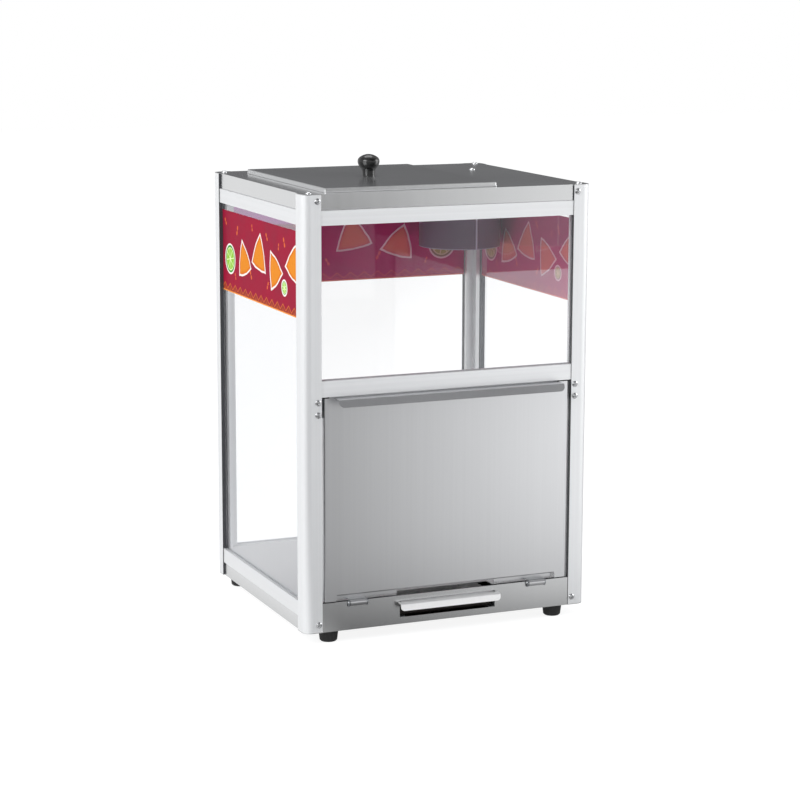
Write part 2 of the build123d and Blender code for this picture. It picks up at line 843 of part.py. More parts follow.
# ---------------------------------------------------------------- crumb tray and runners
tray_low = base + slot_low + 0.6
tray_front = front + front_wall_recess + tray_wall_inset
tray_half = tray_width / 2
tray_depth = back - tray_back_gap - tray_front
tray_top = tray_low + tray_height
lip_back = front + front_wall_recess - tray_stop_gap
with BuildPart() as crumb_tray:
    with BuildSketch(Plane.XY.offset(tray_low)):
        with Locations((0, tray_front + tray_depth / 2)):
            Rectangle(tray_width, tray_depth)
    extrude(amount=tray_height - sheet)
    with BuildSketch(Plane.XY.offset(tray_low + sheet)):
        with Locations((0, tray_front + tray_depth / 2)):
            Rectangle(tray_width - 2 * sheet, tray_depth - 2 * sheet)
    extrude(amount=tray_height, mode=Mode.SUBTRACT)
    with BuildSketch(Plane.XY.offset(tray_top - sheet)):
        with Locations((0, (tray_front + sheet + lip_back) / 2)):
            Rectangle(tray_width, tray_front + sheet - lip_back)
    extrude(amount=sheet)
    with BuildSketch(Plane.YZ):
        with BuildLine():
            FilletPolyline(
                (lip_back, tray_top - sheet / 2),
                (lip_back - tray_lip_reach, tray_top - sheet / 2),
                (lip_back - tray_lip_reach - 1.5, tray_top - tray_lip_drop),
                radius=bend,
            )
        trace(line_width=sheet)
    extrude(amount=tray_lip_width / 2, both=True)
    tray_lip_tips = crumb_tray.edges().filter_by(
        lambda e: e.length < 1.5 * sheet
        and e.center().Y < lip_back - tray_lip_reach
        and e.center().Z < tray_top - tray_lip_drop + 1
        and abs(abs(e.center().X) - tray_lip_width / 2) < 0.01
    )
    fillet(tray_lip_tips, radius=tray_lip_corner)
keep(crumb_tray, "crumb_tray")

runner_web = tray_half + runner_clearance
runner_front = front + front_wall_recess + sheet + seat_gap
runner_length = back - runner_back_gap - runner_front
ledge_top = tray_low - seat_gap
for side_name, side in sides.items():
    with BuildPart() as runner:
        with BuildSketch(Plane.XZ.offset(-runner_front)):
            with Locations((side * (runner_web + sheet / 2), (base + sheet + base + sheet + runner_height) / 2)):
                Rectangle(sheet, runner_height)
            with Locations((side * (runner_web + runner_foot / 2), base + sheet * 1.5)):
                Rectangle(runner_foot, sheet)
            with Locations((side * (runner_web + sheet - runner_ledge / 2), ledge_top - sheet / 2)):
                Rectangle(runner_ledge, sheet)
        extrude(amount=-runner_length)
    keep(runner, f"tray_runner_{side_name}")

# ---------------------------------------------------------------- lamp can, holder, lamp
can_top = top - sheet
can_low = can_top - can_height
with BuildPart() as lamp_can:
    with BuildSketch(Plane.XY.offset(can_low)):
        with Locations((can_center_x, can_y)):
            Circle(can_radius)
        with Locations((can_center_x, can_y - can_radius)):
            Rectangle(can_seam_width, 2 * can_seam_rise)
    extrude(amount=can_height)
    with BuildSketch(Plane.XY.offset(can_low + sheet)):
        with Locations((can_center_x, can_y)):
            Circle(can_radius - sheet)
    extrude(amount=can_height - 2 * sheet, mode=Mode.SUBTRACT)
    with BuildSketch(Plane.XY.offset(can_low)):
        with Locations((can_center_x, can_y)):
            Circle(can_radius - can_rim)
    extrude(amount=sheet, mode=Mode.SUBTRACT)
    with BuildSketch(Plane.XY.offset(can_top - sheet)):
        with Locations(can_screw_place):
            shank_outline()
    extrude(amount=sheet, mode=Mode.SUBTRACT)
keep(lamp_can, "lamp_can")

holder_top = can_top - sheet
holder_low = holder_top - holder_height
lamp_axis_x = can_center_x - lamp_offset
lamp_plane = Plane(origin=(lamp_axis_x, can_y, 0), x_dir=(1, 0, 0), z_dir=(0, -1, 0))
lamp_axis = Axis((lamp_axis_x, can_y, 0), (0, 0, 1))
with BuildPart() as lampholder:
    with BuildSketch(lamp_plane):
        with BuildLine():
            Polyline(
                (0, holder_top),
                (holder_radius - holder_step, holder_top),
                (holder_radius - holder_step, holder_top - holder_web),
                (holder_radius, holder_top - holder_web - holder_step),
                (holder_radius, holder_low),
                (holder_radius - holder_wall, holder_low),
                (holder_radius - holder_wall, holder_top - holder_web),
                (0, holder_top - holder_web),
                close=True,
            )
        make_face()
    revolve(axis=lamp_axis)
keep(lampholder, "lampholder")

cap_top = holder_top - holder_web
cap_low = holder_low - lamp_cap_show
bulb_middle = holder_low - lamp_neck - lamp_glass_radius * 0.75
# the bowl follows its sphere in a few straight steps, to keep the mesh light
bowl = [
    (lamp_glass_radius * cos(radians(turn)), bulb_middle + lamp_glass_radius * sin(radians(turn)))
    for turn in lamp_bowl_turns
]
with BuildPart() as heat_lamp:
    with BuildSketch(lamp_plane):
        with BuildLine():
            Polyline(
                (0, cap_top),
                (lamp_cap_radius - lamp_cap_edge, cap_top),
                (lamp_cap_radius, cap_top - lamp_cap_edge),
                (lamp_cap_radius, cap_low),
                *bowl,
                (0, bulb_middle - lamp_glass_radius),
                close=True,
            )
        make_face()
    revolve(axis=lamp_axis)
keep(heat_lamp, "heat_lamp")

# ---------------------------------------------------------------- switch, bushing, wiring
with BuildPart() as switch_frame:
    with BuildSketch(across(skirt_back)):
        with Locations((switch_x, skirt_middle)):
            Rectangle(bezel_width, bezel_height)
    extrude(amount=-bezel_thickness)
    fillet(switch_frame.edges().filter_by(Axis.Y), radius=1.0)
    with BuildSketch(across(skirt_back)):
        with Locations((switch_x, skirt_middle)):
            Rectangle(switch_width, switch_height)
    extrude(amount=switch_body_depth)
    with BuildSketch(across(skirt_back + bezel_thickness)):
        with Locations((switch_x, skirt_middle)):
            Rectangle(rocker_width + 2 * rocker_swing, rocker_height + 2 * rocker_gap)
    extrude(amount=rocker_well, mode=Mode.SUBTRACT)
    with BuildSketch(across(skirt_back - switch_body_depth)):
        with Locations((switch_x - 3.2, skirt_middle), (switch_x + 3.2, skirt_middle)):
            Rectangle(0.8, 4.8)
    extrude(amount=7.0)
keep(switch_frame, "switch_frame")

tilt = radians(rocker_tilt)
rocker_plane = Plane(origin=(switch_x, skirt_back, skirt_middle), x_dir=(cos(tilt), sin(tilt), 0), z_dir=(0, 0, 1))
with BuildPart() as switch_rocker:
    with BuildSketch(rocker_plane):
        with BuildLine():
            keel = Polyline(
                (-rocker_width / 2, rocker_crest),
                (-rocker_width / 2 + 0.8, -rocker_depth),
                (rocker_width / 2 - 0.8, -rocker_depth),
                (rocker_width / 2, rocker_crest),
            )
            ThreePointArc(keel @ 1, (0, rocker_crest - 0.8), keel @ 0)
        make_face()
    extrude(amount=rocker_height / 2, both=True)
keep(switch_rocker, "switch_rocker")

gland_axis_plane = Plane(origin=(gland_x, skirt_back, skirt_middle), x_dir=(1, 0, 0), z_dir=(0, 0, 1))
gland_axis = Axis((gland_x, skirt_back, skirt_middle), (0, 1, 0))
with BuildPart() as cord_bushing:
    with BuildSketch(gland_axis_plane):
        with BuildLine():
            Polyline(
                (gland_bore_radius, -sheet - gland_tail),
                (gland_hole_radius - 0.1, -sheet - gland_tail),
                (gland_hole_radius - 0.1, 0),
                (gland_flange_radius, 0),
                (gland_flange_radius, gland_flange),
                (gland_hole_radius + 0.4, gland_flange),
                (gland_tip_radius, gland_flange + gland_reach),
                (gland_bore_radius, gland_flange + gland_reach),
                close=True,
            )
        make_face()
    revolve(axis=gland_axis)
keep(cord_bushing, "cord_bushing")

with BuildPart() as bushing_nut:
    with BuildSketch(across(skirt_back - sheet)):
        with Locations((gland_x, skirt_middle)):
            RegularPolygon(gland_nut_radius, 6)
            Circle(gland_hole_radius, mode=Mode.SUBTRACT)
    extrude(amount=gland_nut)
keep(bushing_nut, "bushing_nut")

cover_low = seam
cover_back = back - post_leg + wiring_cover_rest
with BuildPart() as wiring_cover:
    with BuildSketch(Plane.YZ.offset(cover_right)):
        with BuildLine():
            FilletPolyline(
                (cover_back, cover_low + sheet / 2),
                (cover_front + sheet / 2, cover_low + sheet / 2),
                (cover_front + sheet / 2, top - sheet * 1.5),
                (cover_front + wiring_cover_flange, top - sheet * 1.5),
                radius=1.2,
            )
        trace(line_width=sheet)
    extrude(amount=-wiring_cover_length)
keep(wiring_cover, "wiring_cover")

terminal_x = cover_right - terminal_from_cover
terminal_front = cover_front + wiring_cover_flange + terminal_gap
with BuildPart() as terminal_block:
    with BuildSketch(Plane.XY.offset(top - sheet - terminal_height)):
        with Locations((terminal_x, terminal_front + terminal_depth / 2)):
            Rectangle(terminal_length, terminal_depth)
    extrude(amount=terminal_height)
    with BuildSketch(Plane.XY.offset(top - sheet - terminal_height)):
        with Locations((terminal_x, terminal_front + terminal_depth / 2)):
            with GridLocations(terminal_length / 3, 1, 3, 1):
                shank_outline(terminal_bore)
    extrude(amount=terminal_bore_depth, mode=Mode.SUBTRACT)
keep(terminal_block, "terminal_block")

# ---------------------------------------------------------------- screws, rivets, nuts
up = (0, 0, 0)
down = (180, 0, 0)
to_front = (90, 0, 0)
to_back = (-90, 0, 0)

with BuildPart() as post_screws:
    for s in (-1, 1):
        for level in post_screw_levels["front"]:
            add(pan_screw.part.moved(Location((s * post_screw_x, front, level), to_front)))
        for level in post_screw_levels["rear"]:
            add(pan_screw.part.moved(Location((s * post_screw_x, back, level), to_back)))
keep(post_screws, "post_screws")

with BuildPart() as top_screws:
    for x, y in post_centers:
        add(pan_screw.part.moved(Location((x, y, top), up)))
keep(top_screws, "top_screws")

with BuildPart() as base_screws:
    for x, y in post_centers:
        add(pan_screw.part.moved(Location((x, y, base), down)))
keep(base_screws, "base_screws")

can_screw_length = 8.0
with BuildPart() as can_screw:
    add(pan_screw.part.moved(Location((*can_screw_place, top), up)))
    with BuildSketch(Plane.XY.offset(top - can_screw_length)):
        with Locations(can_screw_place):
            Circle(2 * screw_radius)
    extrude(amount=-post_screw_length, mode=Mode.SUBTRACT)
keep(can_screw, "can_screw")

with BuildPart() as catch_nuts:
    for s in (-1, 1):
        for level in (catch_low, catch_high):
            with BuildSketch(across(catch_face + catch_plate_thickness)):
                with Locations((s * post_screw_x, level)):
                    RegularPolygon(nut_radius, 6)
                    shank_outline(mode=Mode.SUBTRACT)
            extrude(amount=-nut_height)
keep(catch_nuts, "catch_nuts")

with BuildPart() as can_nut:
    with BuildSketch(Plane.XY.offset(can_top - sheet)):
        with Locations(can_screw_place):
            RegularPolygon(nut_radius, 6)
            shank_outline(mode=Mode.SUBTRACT)
    extrude(amount=-nut_height)
keep(can_nut, "can_nut")

arm_x = rail_half_x - bracket_rivet_inset
arm_y = rail_half_y - bracket_rivet_inset
inner_x = half_width - post_leg - bracket_thickness
inner_y = half_depth - post_leg - bracket_thickness
with BuildPart() as bracket_rivets:
    for level in (top_rivet_level, low_rivet_level):
        for s in (-1, 1):
            for e in (-1, 1):
                place = Location((s * inner_x, mid_y + e * arm_y, level), (0, -90 * s, 0))
                add(rivet.part.moved(place))
                if e > 0 or level == top_rivet_level:
                    turn = to_front if e > 0 else to_back
                    add(rivet.part.moved(Location((s * arm_x, mid_y + e * inner_y, level), turn)))
keep(bracket_rivets, "bracket_rivets")

# ---------------------------------------------------------------- feet
with BuildPart() as rubber_feet:
    for x, y in foot_places:
        with BuildSketch(Plane(origin=(x, y, 0), x_dir=(1, 0, 0), z_dir=(0, -1, 0))):
            with BuildLine():
                Polyline(
                    (0, 0),
                    (foot_tip_radius - foot_edge, 0),
                    (foot_tip_radius, foot_edge),
                    (foot_top_radius, foot_height),
                    (0, foot_height),
                    close=True,
                )
            make_face()
        revolve(axis=Axis((x, y, 0), (0, 0, 1)))
    with BuildSketch():
        with Locations(*foot_places):
            shank_outline(foot_bore_radius)
    extrude(amount=foot_bore_depth, mode=Mode.SUBTRACT)
    with BuildSketch(Plane.XY.offset(foot_bore_depth)):
        with Locations(*foot_places):
            shank_outline()
    extrude(amount=foot_height - foot_bore_depth, mode=Mode.SUBTRACT)
keep(rubber_feet, "rubber_feet")

foot_screw_length = foot_height - foot_bore_depth + sheet + 3.0
with BuildPart() as foot_screws:
    for x, y in foot_places:
        add(pan_screw.part.moved(Location((x, y, foot_bore_depth), down)))
    with BuildSketch(Plane.XY.offset(foot_bore_depth + foot_screw_length)):
        with Locations(*foot_places):
            Circle(2 * screw_radius)
    extrude(amount=post_screw_length, mode=Mode.SUBTRACT)
keep(foot_screws, "foot_screws")

with BuildPart() as foot_nuts:
    with BuildSketch(Plane.XY.offset(base + sheet)):
        with Locations(*foot_places):
            RegularPolygon(nut_radius, 6)
            shank_outline(mode=Mode.SUBTRACT)
    extrude(amount=nut_height)
keep(foot_nuts, "foot_nuts")
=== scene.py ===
"""Looks of a counter-top chip warmer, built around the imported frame.

The frame carries every piece at its real size. This script gives each piece its
finish. It adds recessed screw heads, the turned lamp and the grooved middle rail
where the frame is plain, and sets a plain studio round the cabinet. Lengths are
metres, unless a name ends in _mm or a class says otherwise. Angles kept in fields
are degrees. +Z is up and the door side faces -Y.
"""

from __future__ import annotations

import logging
import math
from dataclasses import dataclass, field
from enum import Enum

import bpy
import numpy as np
from mathutils import Matrix, Vector

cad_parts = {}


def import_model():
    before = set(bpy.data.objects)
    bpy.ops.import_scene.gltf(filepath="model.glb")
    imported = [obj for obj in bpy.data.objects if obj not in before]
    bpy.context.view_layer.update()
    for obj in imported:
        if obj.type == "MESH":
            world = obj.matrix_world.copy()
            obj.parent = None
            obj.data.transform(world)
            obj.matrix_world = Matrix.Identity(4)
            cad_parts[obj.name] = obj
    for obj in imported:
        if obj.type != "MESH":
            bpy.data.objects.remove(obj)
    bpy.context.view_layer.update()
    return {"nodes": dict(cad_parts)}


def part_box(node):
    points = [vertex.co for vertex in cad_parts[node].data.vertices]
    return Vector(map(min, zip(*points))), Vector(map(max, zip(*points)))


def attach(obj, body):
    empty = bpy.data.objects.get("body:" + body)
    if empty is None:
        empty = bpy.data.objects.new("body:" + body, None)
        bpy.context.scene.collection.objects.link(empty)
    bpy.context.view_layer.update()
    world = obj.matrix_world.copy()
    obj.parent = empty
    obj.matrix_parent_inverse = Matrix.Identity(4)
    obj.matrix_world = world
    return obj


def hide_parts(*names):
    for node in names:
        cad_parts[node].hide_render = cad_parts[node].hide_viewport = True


LOG = logging.getLogger("chip_warmer")
MM = 0.001
MERGE = 1e-7

Colour = tuple[float, float, float, float]
Triple = tuple[float, float, float]
Pair = tuple[float, float]
Motif = tuple[float, float, float, float]
Seats = list[tuple[Vector, Vector]]
Socket = bpy.types.NodeSocket
Value = Socket | float | Colour
Nodes = dict[str, bpy.types.Object]


class Along(Enum):
    """The object axis that a grain or a print runs along."""

    X = 0
    Y = 1
    Z = 2


class Do(Enum):
    """What a node does: its type, its settings, its inputs in order and its output."""

    ADD = ("ShaderNodeMath", {"operation": "ADD"}, (0, 1), 0)
    SUBTRACT = ("ShaderNodeMath", {"operation": "SUBTRACT"}, (0, 1), 0)
    MULTIPLY = ("ShaderNodeMath", {"operation": "MULTIPLY"}, (0, 1), 0)
    MULTIPLY_ADD = ("ShaderNodeMath", {"operation": "MULTIPLY_ADD"}, (0, 1, 2), 0)
    DIVIDE = ("ShaderNodeMath", {"operation": "DIVIDE"}, (0, 1), 0)
    MODULO = ("ShaderNodeMath", {"operation": "MODULO"}, (0, 1), 0)
    FRACT = ("ShaderNodeMath", {"operation": "FRACT"}, (0,), 0)
    POWER = ("ShaderNodeMath", {"operation": "POWER"}, (0, 1), 0)
    SQRT = ("ShaderNodeMath", {"operation": "SQRT"}, (0,), 0)
    ABSOLUTE = ("ShaderNodeMath", {"operation": "ABSOLUTE"}, (0,), 0)
    MAXIMUM = ("ShaderNodeMath", {"operation": "MAXIMUM"}, (0, 1), 0)
    SINE = ("ShaderNodeMath", {"operation": "SINE"}, (0,), 0)
    COSINE = ("ShaderNodeMath", {"operation": "COSINE"}, (0,), 0)
    ARCTAN2 = ("ShaderNodeMath", {"operation": "ARCTAN2"}, (0, 1), 0)
    # value, from, to and, unless it is one, the height reached there; held flat past both ends
    RAMP = ("ShaderNodeMapRange", {"clamp": True}, (0, 1, 2, 4), 0)
    # share of the second colour, first colour, second colour
    MIX = ("ShaderNodeMix", {"data_type": "RGBA", "clamp_factor": True}, (0, 6, 7), 2)
    DOT = ("ShaderNodeVectorMath", {"operation": "DOT_PRODUCT"}, (0, 1), 1)
    # vector and the factor of each axis
    STRETCH = ("ShaderNodeMapping", {}, ("Vector", "Scale"), 0)
    # place, cells to the metre, octaves and how strong each finer octave is
    NOISE = ("ShaderNodeTexNoise", {}, ("Vector", "Scale", "Detail", "Roughness"), 0)
    # height, strength and relief in metres
    BUMP = ("ShaderNodeBump", {}, ("Height", "Strength", "Distance"), 0)
    # colour and strength
    GLOW = ("ShaderNodeEmission", {}, (0, 1), 0)
    BACKGROUND = ("ShaderNodeBackground", {}, (0, 1), 0)
    # share of the second shader, first shader, second shader
    BLEND = ("ShaderNodeMixShader", {}, (0, 1, 2), 0)


def linear(hex_colour: str) -> Colour:
    """Turns an sRGB hex colour into linear RGBA.

    Args:
        hex_colour: six hex digits, such as "c8c9cb".

    Returns:
        Linear red, green, blue and an alpha of one.
    """
    parts = np.array([int(hex_colour[i : i + 2], 16) for i in (0, 2, 4)]) / 255.0
    low = parts / 12.92
    high = ((parts + 0.055) / 1.055) ** 2.4
    red, green, blue = np.where(parts <= 0.04045, low, high)
    return float(red), float(green), float(blue), 1.0


def scaled(colour: Colour, factor: float, lift: float = 0.0) -> Colour:
    """Makes a colour darker or paler.

    Args:
        colour: the linear colour to start from.
        factor: what its channels are multiplied by.
        lift: what is added to them after that.

    Returns:
        The new colour, with no channel over one.
    """
    red, green, blue = (min(1.0, channel * factor + lift) for channel in colour[:3])
    return red, green, blue, 1.0


def grey(level: float) -> Colour:
    """Makes an even linear grey of one level."""
    return level, level, level, 1.0


def add_node(
    tree: bpy.types.NodeTree,
    kind: str,
    settings: dict[str, object] | None = None,
    inputs: dict[int | str, object] | None = None,
) -> bpy.types.Node:
    """Adds one node, sets its fields and fills or links its inputs.

    Args:
        tree: the node tree that gets the node.
        kind: the node's type name.
        settings: attributes to set on the node.
        inputs: values for input sockets, or output sockets to link into them.

    Returns:
        The new node.
    """
    node = tree.nodes.new(kind)
    for name, value in (settings or {}).items():
        setattr(node, name, value)
    for name, value in (inputs or {}).items():
        socket = node.inputs[name]
        if isinstance(value, bpy.types.NodeSocket):
            tree.links.new(value, socket)
        else:
            socket.default_value = value
    return node


class Canvas:
    """A node tree that starts empty, with the two ways that this script adds to it."""

    def __init__(self, tree: bpy.types.NodeTree) -> None:
        """Clears the tree and keeps it."""
        tree.nodes.clear()
        self.tree = tree

    def add(
        self,
        kind: str,
        settings: dict[str, object] | None = None,
        inputs: dict[int | str, object] | None = None,
    ) -> bpy.types.Node:
        """Adds a node to this tree, as add_node does."""
        return add_node(self.tree, kind, settings, inputs)

    def put(self, deed: Do, *values: object) -> Socket:
        """Adds the node for one deed.

        Args:
            deed: what the node does.
            values: numbers, colours or sockets for its inputs, in the deed's order.

        Returns:
            The deed's output socket.
        """
        kind, settings, sockets, output = deed.value
        return self.add(kind, settings, dict(zip(sockets, values))).outputs[output]


class Sheet(Canvas):
    """The node tree of one material, with the patterns that several finishes share.

    An octave field says how strong each finer octave of a noise is beside the one before,
    and lying is the height of the normal over which a face counts as a lying one.
    """

    cell_octave: float = 0.55
    scratch_octave: float = 0.6
    scratches_to_cell: float = 4.0
    lying: Pair = (0.65, 0.75)

    def __init__(self, name: str) -> None:
        """Starts an empty node material.

        Args:
            name: the material's name.
        """
        self.material = bpy.data.materials.new(name)
        self.material.use_nodes = True
        super().__init__(self.material.node_tree)
        coordinates = self.add("ShaderNodeTexCoord")
        self.place = coordinates.outputs["Object"]
        self.facing = coordinates.outputs["Normal"]

    def cells(
        self, cell_mm: float, stretch: Triple = (1.0, 1.0, 1.0), detail: float = 3.0
    ) -> Socket:
        """Draws a cloudy pattern on object coordinates.

        Args:
            cell_mm: size of one cloud.
            stretch: factor on each axis; a small one draws the clouds out along it.
            detail: octaves of the noise.

        Returns:
            The pattern, from nought to one.
        """
        spread = self.put(Do.STRETCH, self.place, stretch)
        return self.put(Do.NOISE, spread, 1.0 / (cell_mm * MM), detail, self.cell_octave)

    def brushing(self, scratch_mm: float, run_mm: float, level: Along, detail: float) -> Socket:
        """Draws belt scratches: upright on upright faces, and along level on lying ones.

        The pattern is noise with a few scratches to a cell, drawn out along the scratch
        by the length of one scratch over its width.

        Args:
            scratch_mm: width of one scratch.
            run_mm: length of one scratch.
            level: the axis that the scratches follow on faces that look up or down.
            detail: octaves of the noise.

        Returns:
            The pattern, from nought to one.
        """
        thin = scratch_mm / run_mm
        level_stretch = [1.0, 1.0, 1.0]
        level_stretch[level.value] = thin
        turned = self.add("ShaderNodeSeparateXYZ", {}, {0: self.facing}).outputs[2]
        share = self.put(Do.RAMP, self.put(Do.ABSOLUTE, turned), *self.lying)
        ways = {0: share, 4: (1.0, 1.0, thin), 5: tuple(level_stretch)}
        stretch = self.add("ShaderNodeMix", {"data_type": "VECTOR"}, ways).outputs[1]
        drawn = {0: self.place, 1: stretch}
        spread = self.add("ShaderNodeVectorMath", {"operation": "MULTIPLY"}, drawn).outputs[0]
        scale = 1.0 / (self.scratches_to_cell * scratch_mm * MM)
        return self.put(Do.NOISE, spread, scale, detail, self.scratch_octave)

    def finish(self, **sockets: object) -> bpy.types.Material:
        """Adds the Principled shader.

        Args:
            sockets: a value for each of its sockets, with _ for a space in the name.

        Returns:
            The finished material.
        """
        names = {key.replace("_", " "): value for key, value in sockets.items()}
        shader = self.add("ShaderNodeBsdfPrincipled", {}, names)
        self.add("ShaderNodeOutputMaterial", {}, {"Surface": shader.outputs[0]})
        return self.material


@dataclass(frozen=True)
class BrushedSteel:
    """Stainless sheet, belt-brushed: its fine scratches give a soft, slightly streaked shine.

    Real scratches are finer than the render can show. The hairs and streaks here are as
    fine as it can, and the clouds are the marks of handling.
    """

    name: str
    colour: str
    level: Along
    roughness: float = 0.30
    depth: float = 0.014
    metallic: float = 1.0
    hair_mm: float = 0.35
    hair_run_mm: float = 45.0
    hair_share: float = 0.45
    streak_mm: float = 1.0
    streak_run_mm: float = 260.0
    contrast: Pair = (0.36, 0.64)
    swing: float = 0.06
    cloud_mm: float = 142.9
    cloud_contrast: Pair = (0.35, 0.75)
    cloud_swing: float = 0.03
    relief: float = 0.06
    relief_mm: float = 0.01

    def painted_light(self, sheet: Sheet, tone: Socket) -> Socket:
        """Changes the tone where light or shade is painted; plain sheet has none."""
        return tone

    def material(self) -> bpy.types.Material:
        """Draws hairs and streaks for the tone, and streaks for the relief.

        Returns:
            The finished material.
        """
        sheet = Sheet(self.name)
        hair = sheet.brushing(self.hair_mm, self.hair_run_mm, self.level, 3.0)
        streak = sheet.brushing(self.streak_mm, self.streak_run_mm, self.level, 4.0)
        cloud = sheet.cells(self.cloud_mm, detail=2.0)
        base = linear(self.colour)
        thin = sheet.put(Do.MULTIPLY, hair, self.hair_share)
        lines = sheet.put(Do.ADD, thin, sheet.put(Do.MULTIPLY, streak, 1.0 - self.hair_share))
        dark, pale = scaled(base, 1.0 - self.depth), scaled(base, 1.0 + self.depth)
        tone = sheet.put(Do.MIX, sheet.put(Do.RAMP, lines, *self.contrast), dark, pale)
        rough = sheet.put(Do.MULTIPLY, lines, self.swing)
        rough = sheet.put(Do.ADD, rough, self.roughness - self.swing / 2.0)
        handled = sheet.put(Do.RAMP, cloud, *self.cloud_contrast, self.cloud_swing)
        rough = sheet.put(Do.ADD, rough, handled)
        return sheet.finish(
            Base_Color=self.painted_light(sheet, tone),
            Metallic=self.metallic,
            Roughness=rough,
            Normal=sheet.put(Do.BUMP, streak, self.relief, self.relief_mm * MM),
        )


@dataclass(frozen=True)
class TraySteel(BrushedSteel):
    """Brushed tray sheet: bright where handled, with painted shade on the wall behind the slot."""

    wall_y: float = -163.0 * MM
    wall_facing: Pair = (-0.8, -0.9)
    # colour of the painted shade on the tray's front wall
    painted_shade: str = "34302e"

    def painted_light(self, sheet: Sheet, tone: Socket) -> Socket:
        """Paints shade on the front wall: darkens faces that look to the door side, behind the
        slot's plane.

        Args:
            sheet: the material being built.
            tone: the colour of the clean sheet.

        Returns:
            The colour with painted shade on the wall.
        """
        place = sheet.add("ShaderNodeSeparateXYZ", {}, {0: sheet.place}).outputs[1]
        facing = sheet.add("ShaderNodeSeparateXYZ", {}, {0: sheet.facing}).outputs[1]
        toward = sheet.put(Do.RAMP, facing, *self.wall_facing)
        behind = sheet.put(Do.RAMP, place, self.wall_y, self.wall_y + MM)
        share = sheet.put(Do.MULTIPLY, toward, behind)
        # painted shade: the wall behind the slot is darkened as if in the lip's shade
        return sheet.put(Do.MIX, share, tone, linear(self.painted_shade))


@dataclass(frozen=True)
class GrooveShade:
    """Where shade is painted on a post: on the ends of its two fins, outside the panes.

    Neither the fins nor the panes have the origin halfway between them along y, so each
    has a middle_y of its own.
    """

    pane_x: float = 194.0 * MM
    fin_x: float = 178.4 * MM
    fin_middle_y: float = -1.55 * MM
    fin_y: float = 157.0 * MM
    pane_middle_y: float = 3.75 * MM
    pane_y: float = 167.0 * MM
    slack: float = 0.2 * MM
    facing: Pair = (0.90, 0.95)
    # colour of the painted shade in the pane groove
    colour: str = "3c3d40"


@dataclass(frozen=True)
class AnodisedAluminium:
    """Extruded aluminium, satin anodised: milky and even, with faint die lines."""

    name: str
    colour: str
    grain: Along
    roughness: float = 0.46
    metallic: float = 0.62
    groove_shade: GrooveShade | None = None
    line_mm: float = 3.125
    line_stretch: float = 0.004
    line_shade: float = 0.965
    contrast: Pair = (0.35, 0.65)
    grit_mm: float = 0.4545
    swing: float = 0.10
    relief: float = 0.05
    relief_mm: float = 0.015

    def paint_groove_shade(self, sheet: Sheet, groove_shade: GrooveShade) -> Socket:
        """Marks painted shade: the fins' ends near one outer side of the cabinet, looking along
        the other axis.

        Args:
            sheet: the material being built.
            groove_shade: where the painted shade lies.

        Returns:
            One where shade is painted, nought elsewhere.
        """
        place = sheet.add("ShaderNodeSeparateXYZ", {}, {0: sheet.place}).outputs
        facing = sheet.add("ShaderNodeSeparateXYZ", {}, {0: sheet.facing}).outputs
        x = sheet.put(Do.ABSOLUTE, place[0])
        fin_y = sheet.put(Do.ABSOLUTE, sheet.put(Do.SUBTRACT, place[1], groove_shade.fin_middle_y))
        pane_y = sheet.put(Do.ABSOLUTE, sheet.put(Do.SUBTRACT, place[1], groove_shade.pane_middle_y))
        marks = []
        for turned, outer, pane, inner, fin in (
            (facing[1], x, groove_shade.pane_x, fin_y, groove_shade.fin_y),
            (facing[0], pane_y, groove_shade.pane_y, x, groove_shade.fin_x),
        ):
            mark = sheet.put(Do.RAMP, sheet.put(Do.ABSOLUTE, turned), *groove_shade.facing)
            outside = sheet.put(Do.RAMP, outer, pane, pane + groove_shade.slack)
            within = sheet.put(Do.RAMP, inner, fin + groove_shade.slack, fin)
            mark = sheet.put(Do.MULTIPLY, mark, outside)
            marks.append(sheet.put(Do.MULTIPLY, mark, within))
        return sheet.put(Do.MAXIMUM, *marks)

    def material(self) -> bpy.types.Material:
        """Draws die lines under a milky satin, whose film scatters part of the light.

        Returns:
            The finished material.
        """
        sheet = Sheet(self.name)
        stretch = [1.0, 1.0, 1.0]
        stretch[self.grain.value] = self.line_stretch
        lines = sheet.cells(self.line_mm, tuple(stretch), 2.0)
        grit = sheet.cells(self.grit_mm, detail=1.0)
        base = linear(self.colour)
        dark = scaled(base, self.line_shade)
        tone = sheet.put(Do.MIX, sheet.put(Do.RAMP, lines, *self.contrast), dark, base)
        rough = sheet.put(Do.MULTIPLY, lines, self.swing)
        rough = sheet.put(Do.ADD, rough, self.roughness - self.swing / 2.0)
        metallic: Value = self.metallic
        # painted shade in the pane grooves: dark and not metallic there
        if self.groove_shade:
            share = self.paint_groove_shade(sheet, self.groove_shade)
            tone = sheet.put(Do.MIX, share, tone, linear(self.groove_shade.colour))
            lighter = sheet.put(Do.SUBTRACT, 1.0, share)
            metallic = sheet.put(Do.MULTIPLY, lighter, self.metallic)
        height = sheet.put(Do.ADD, lines, grit)
        return sheet.finish(
            Base_Color=tone,
            Metallic=metallic,
            Roughness=rough,
            Normal=sheet.put(Do.BUMP, height, self.relief, self.relief_mm * MM),
        )


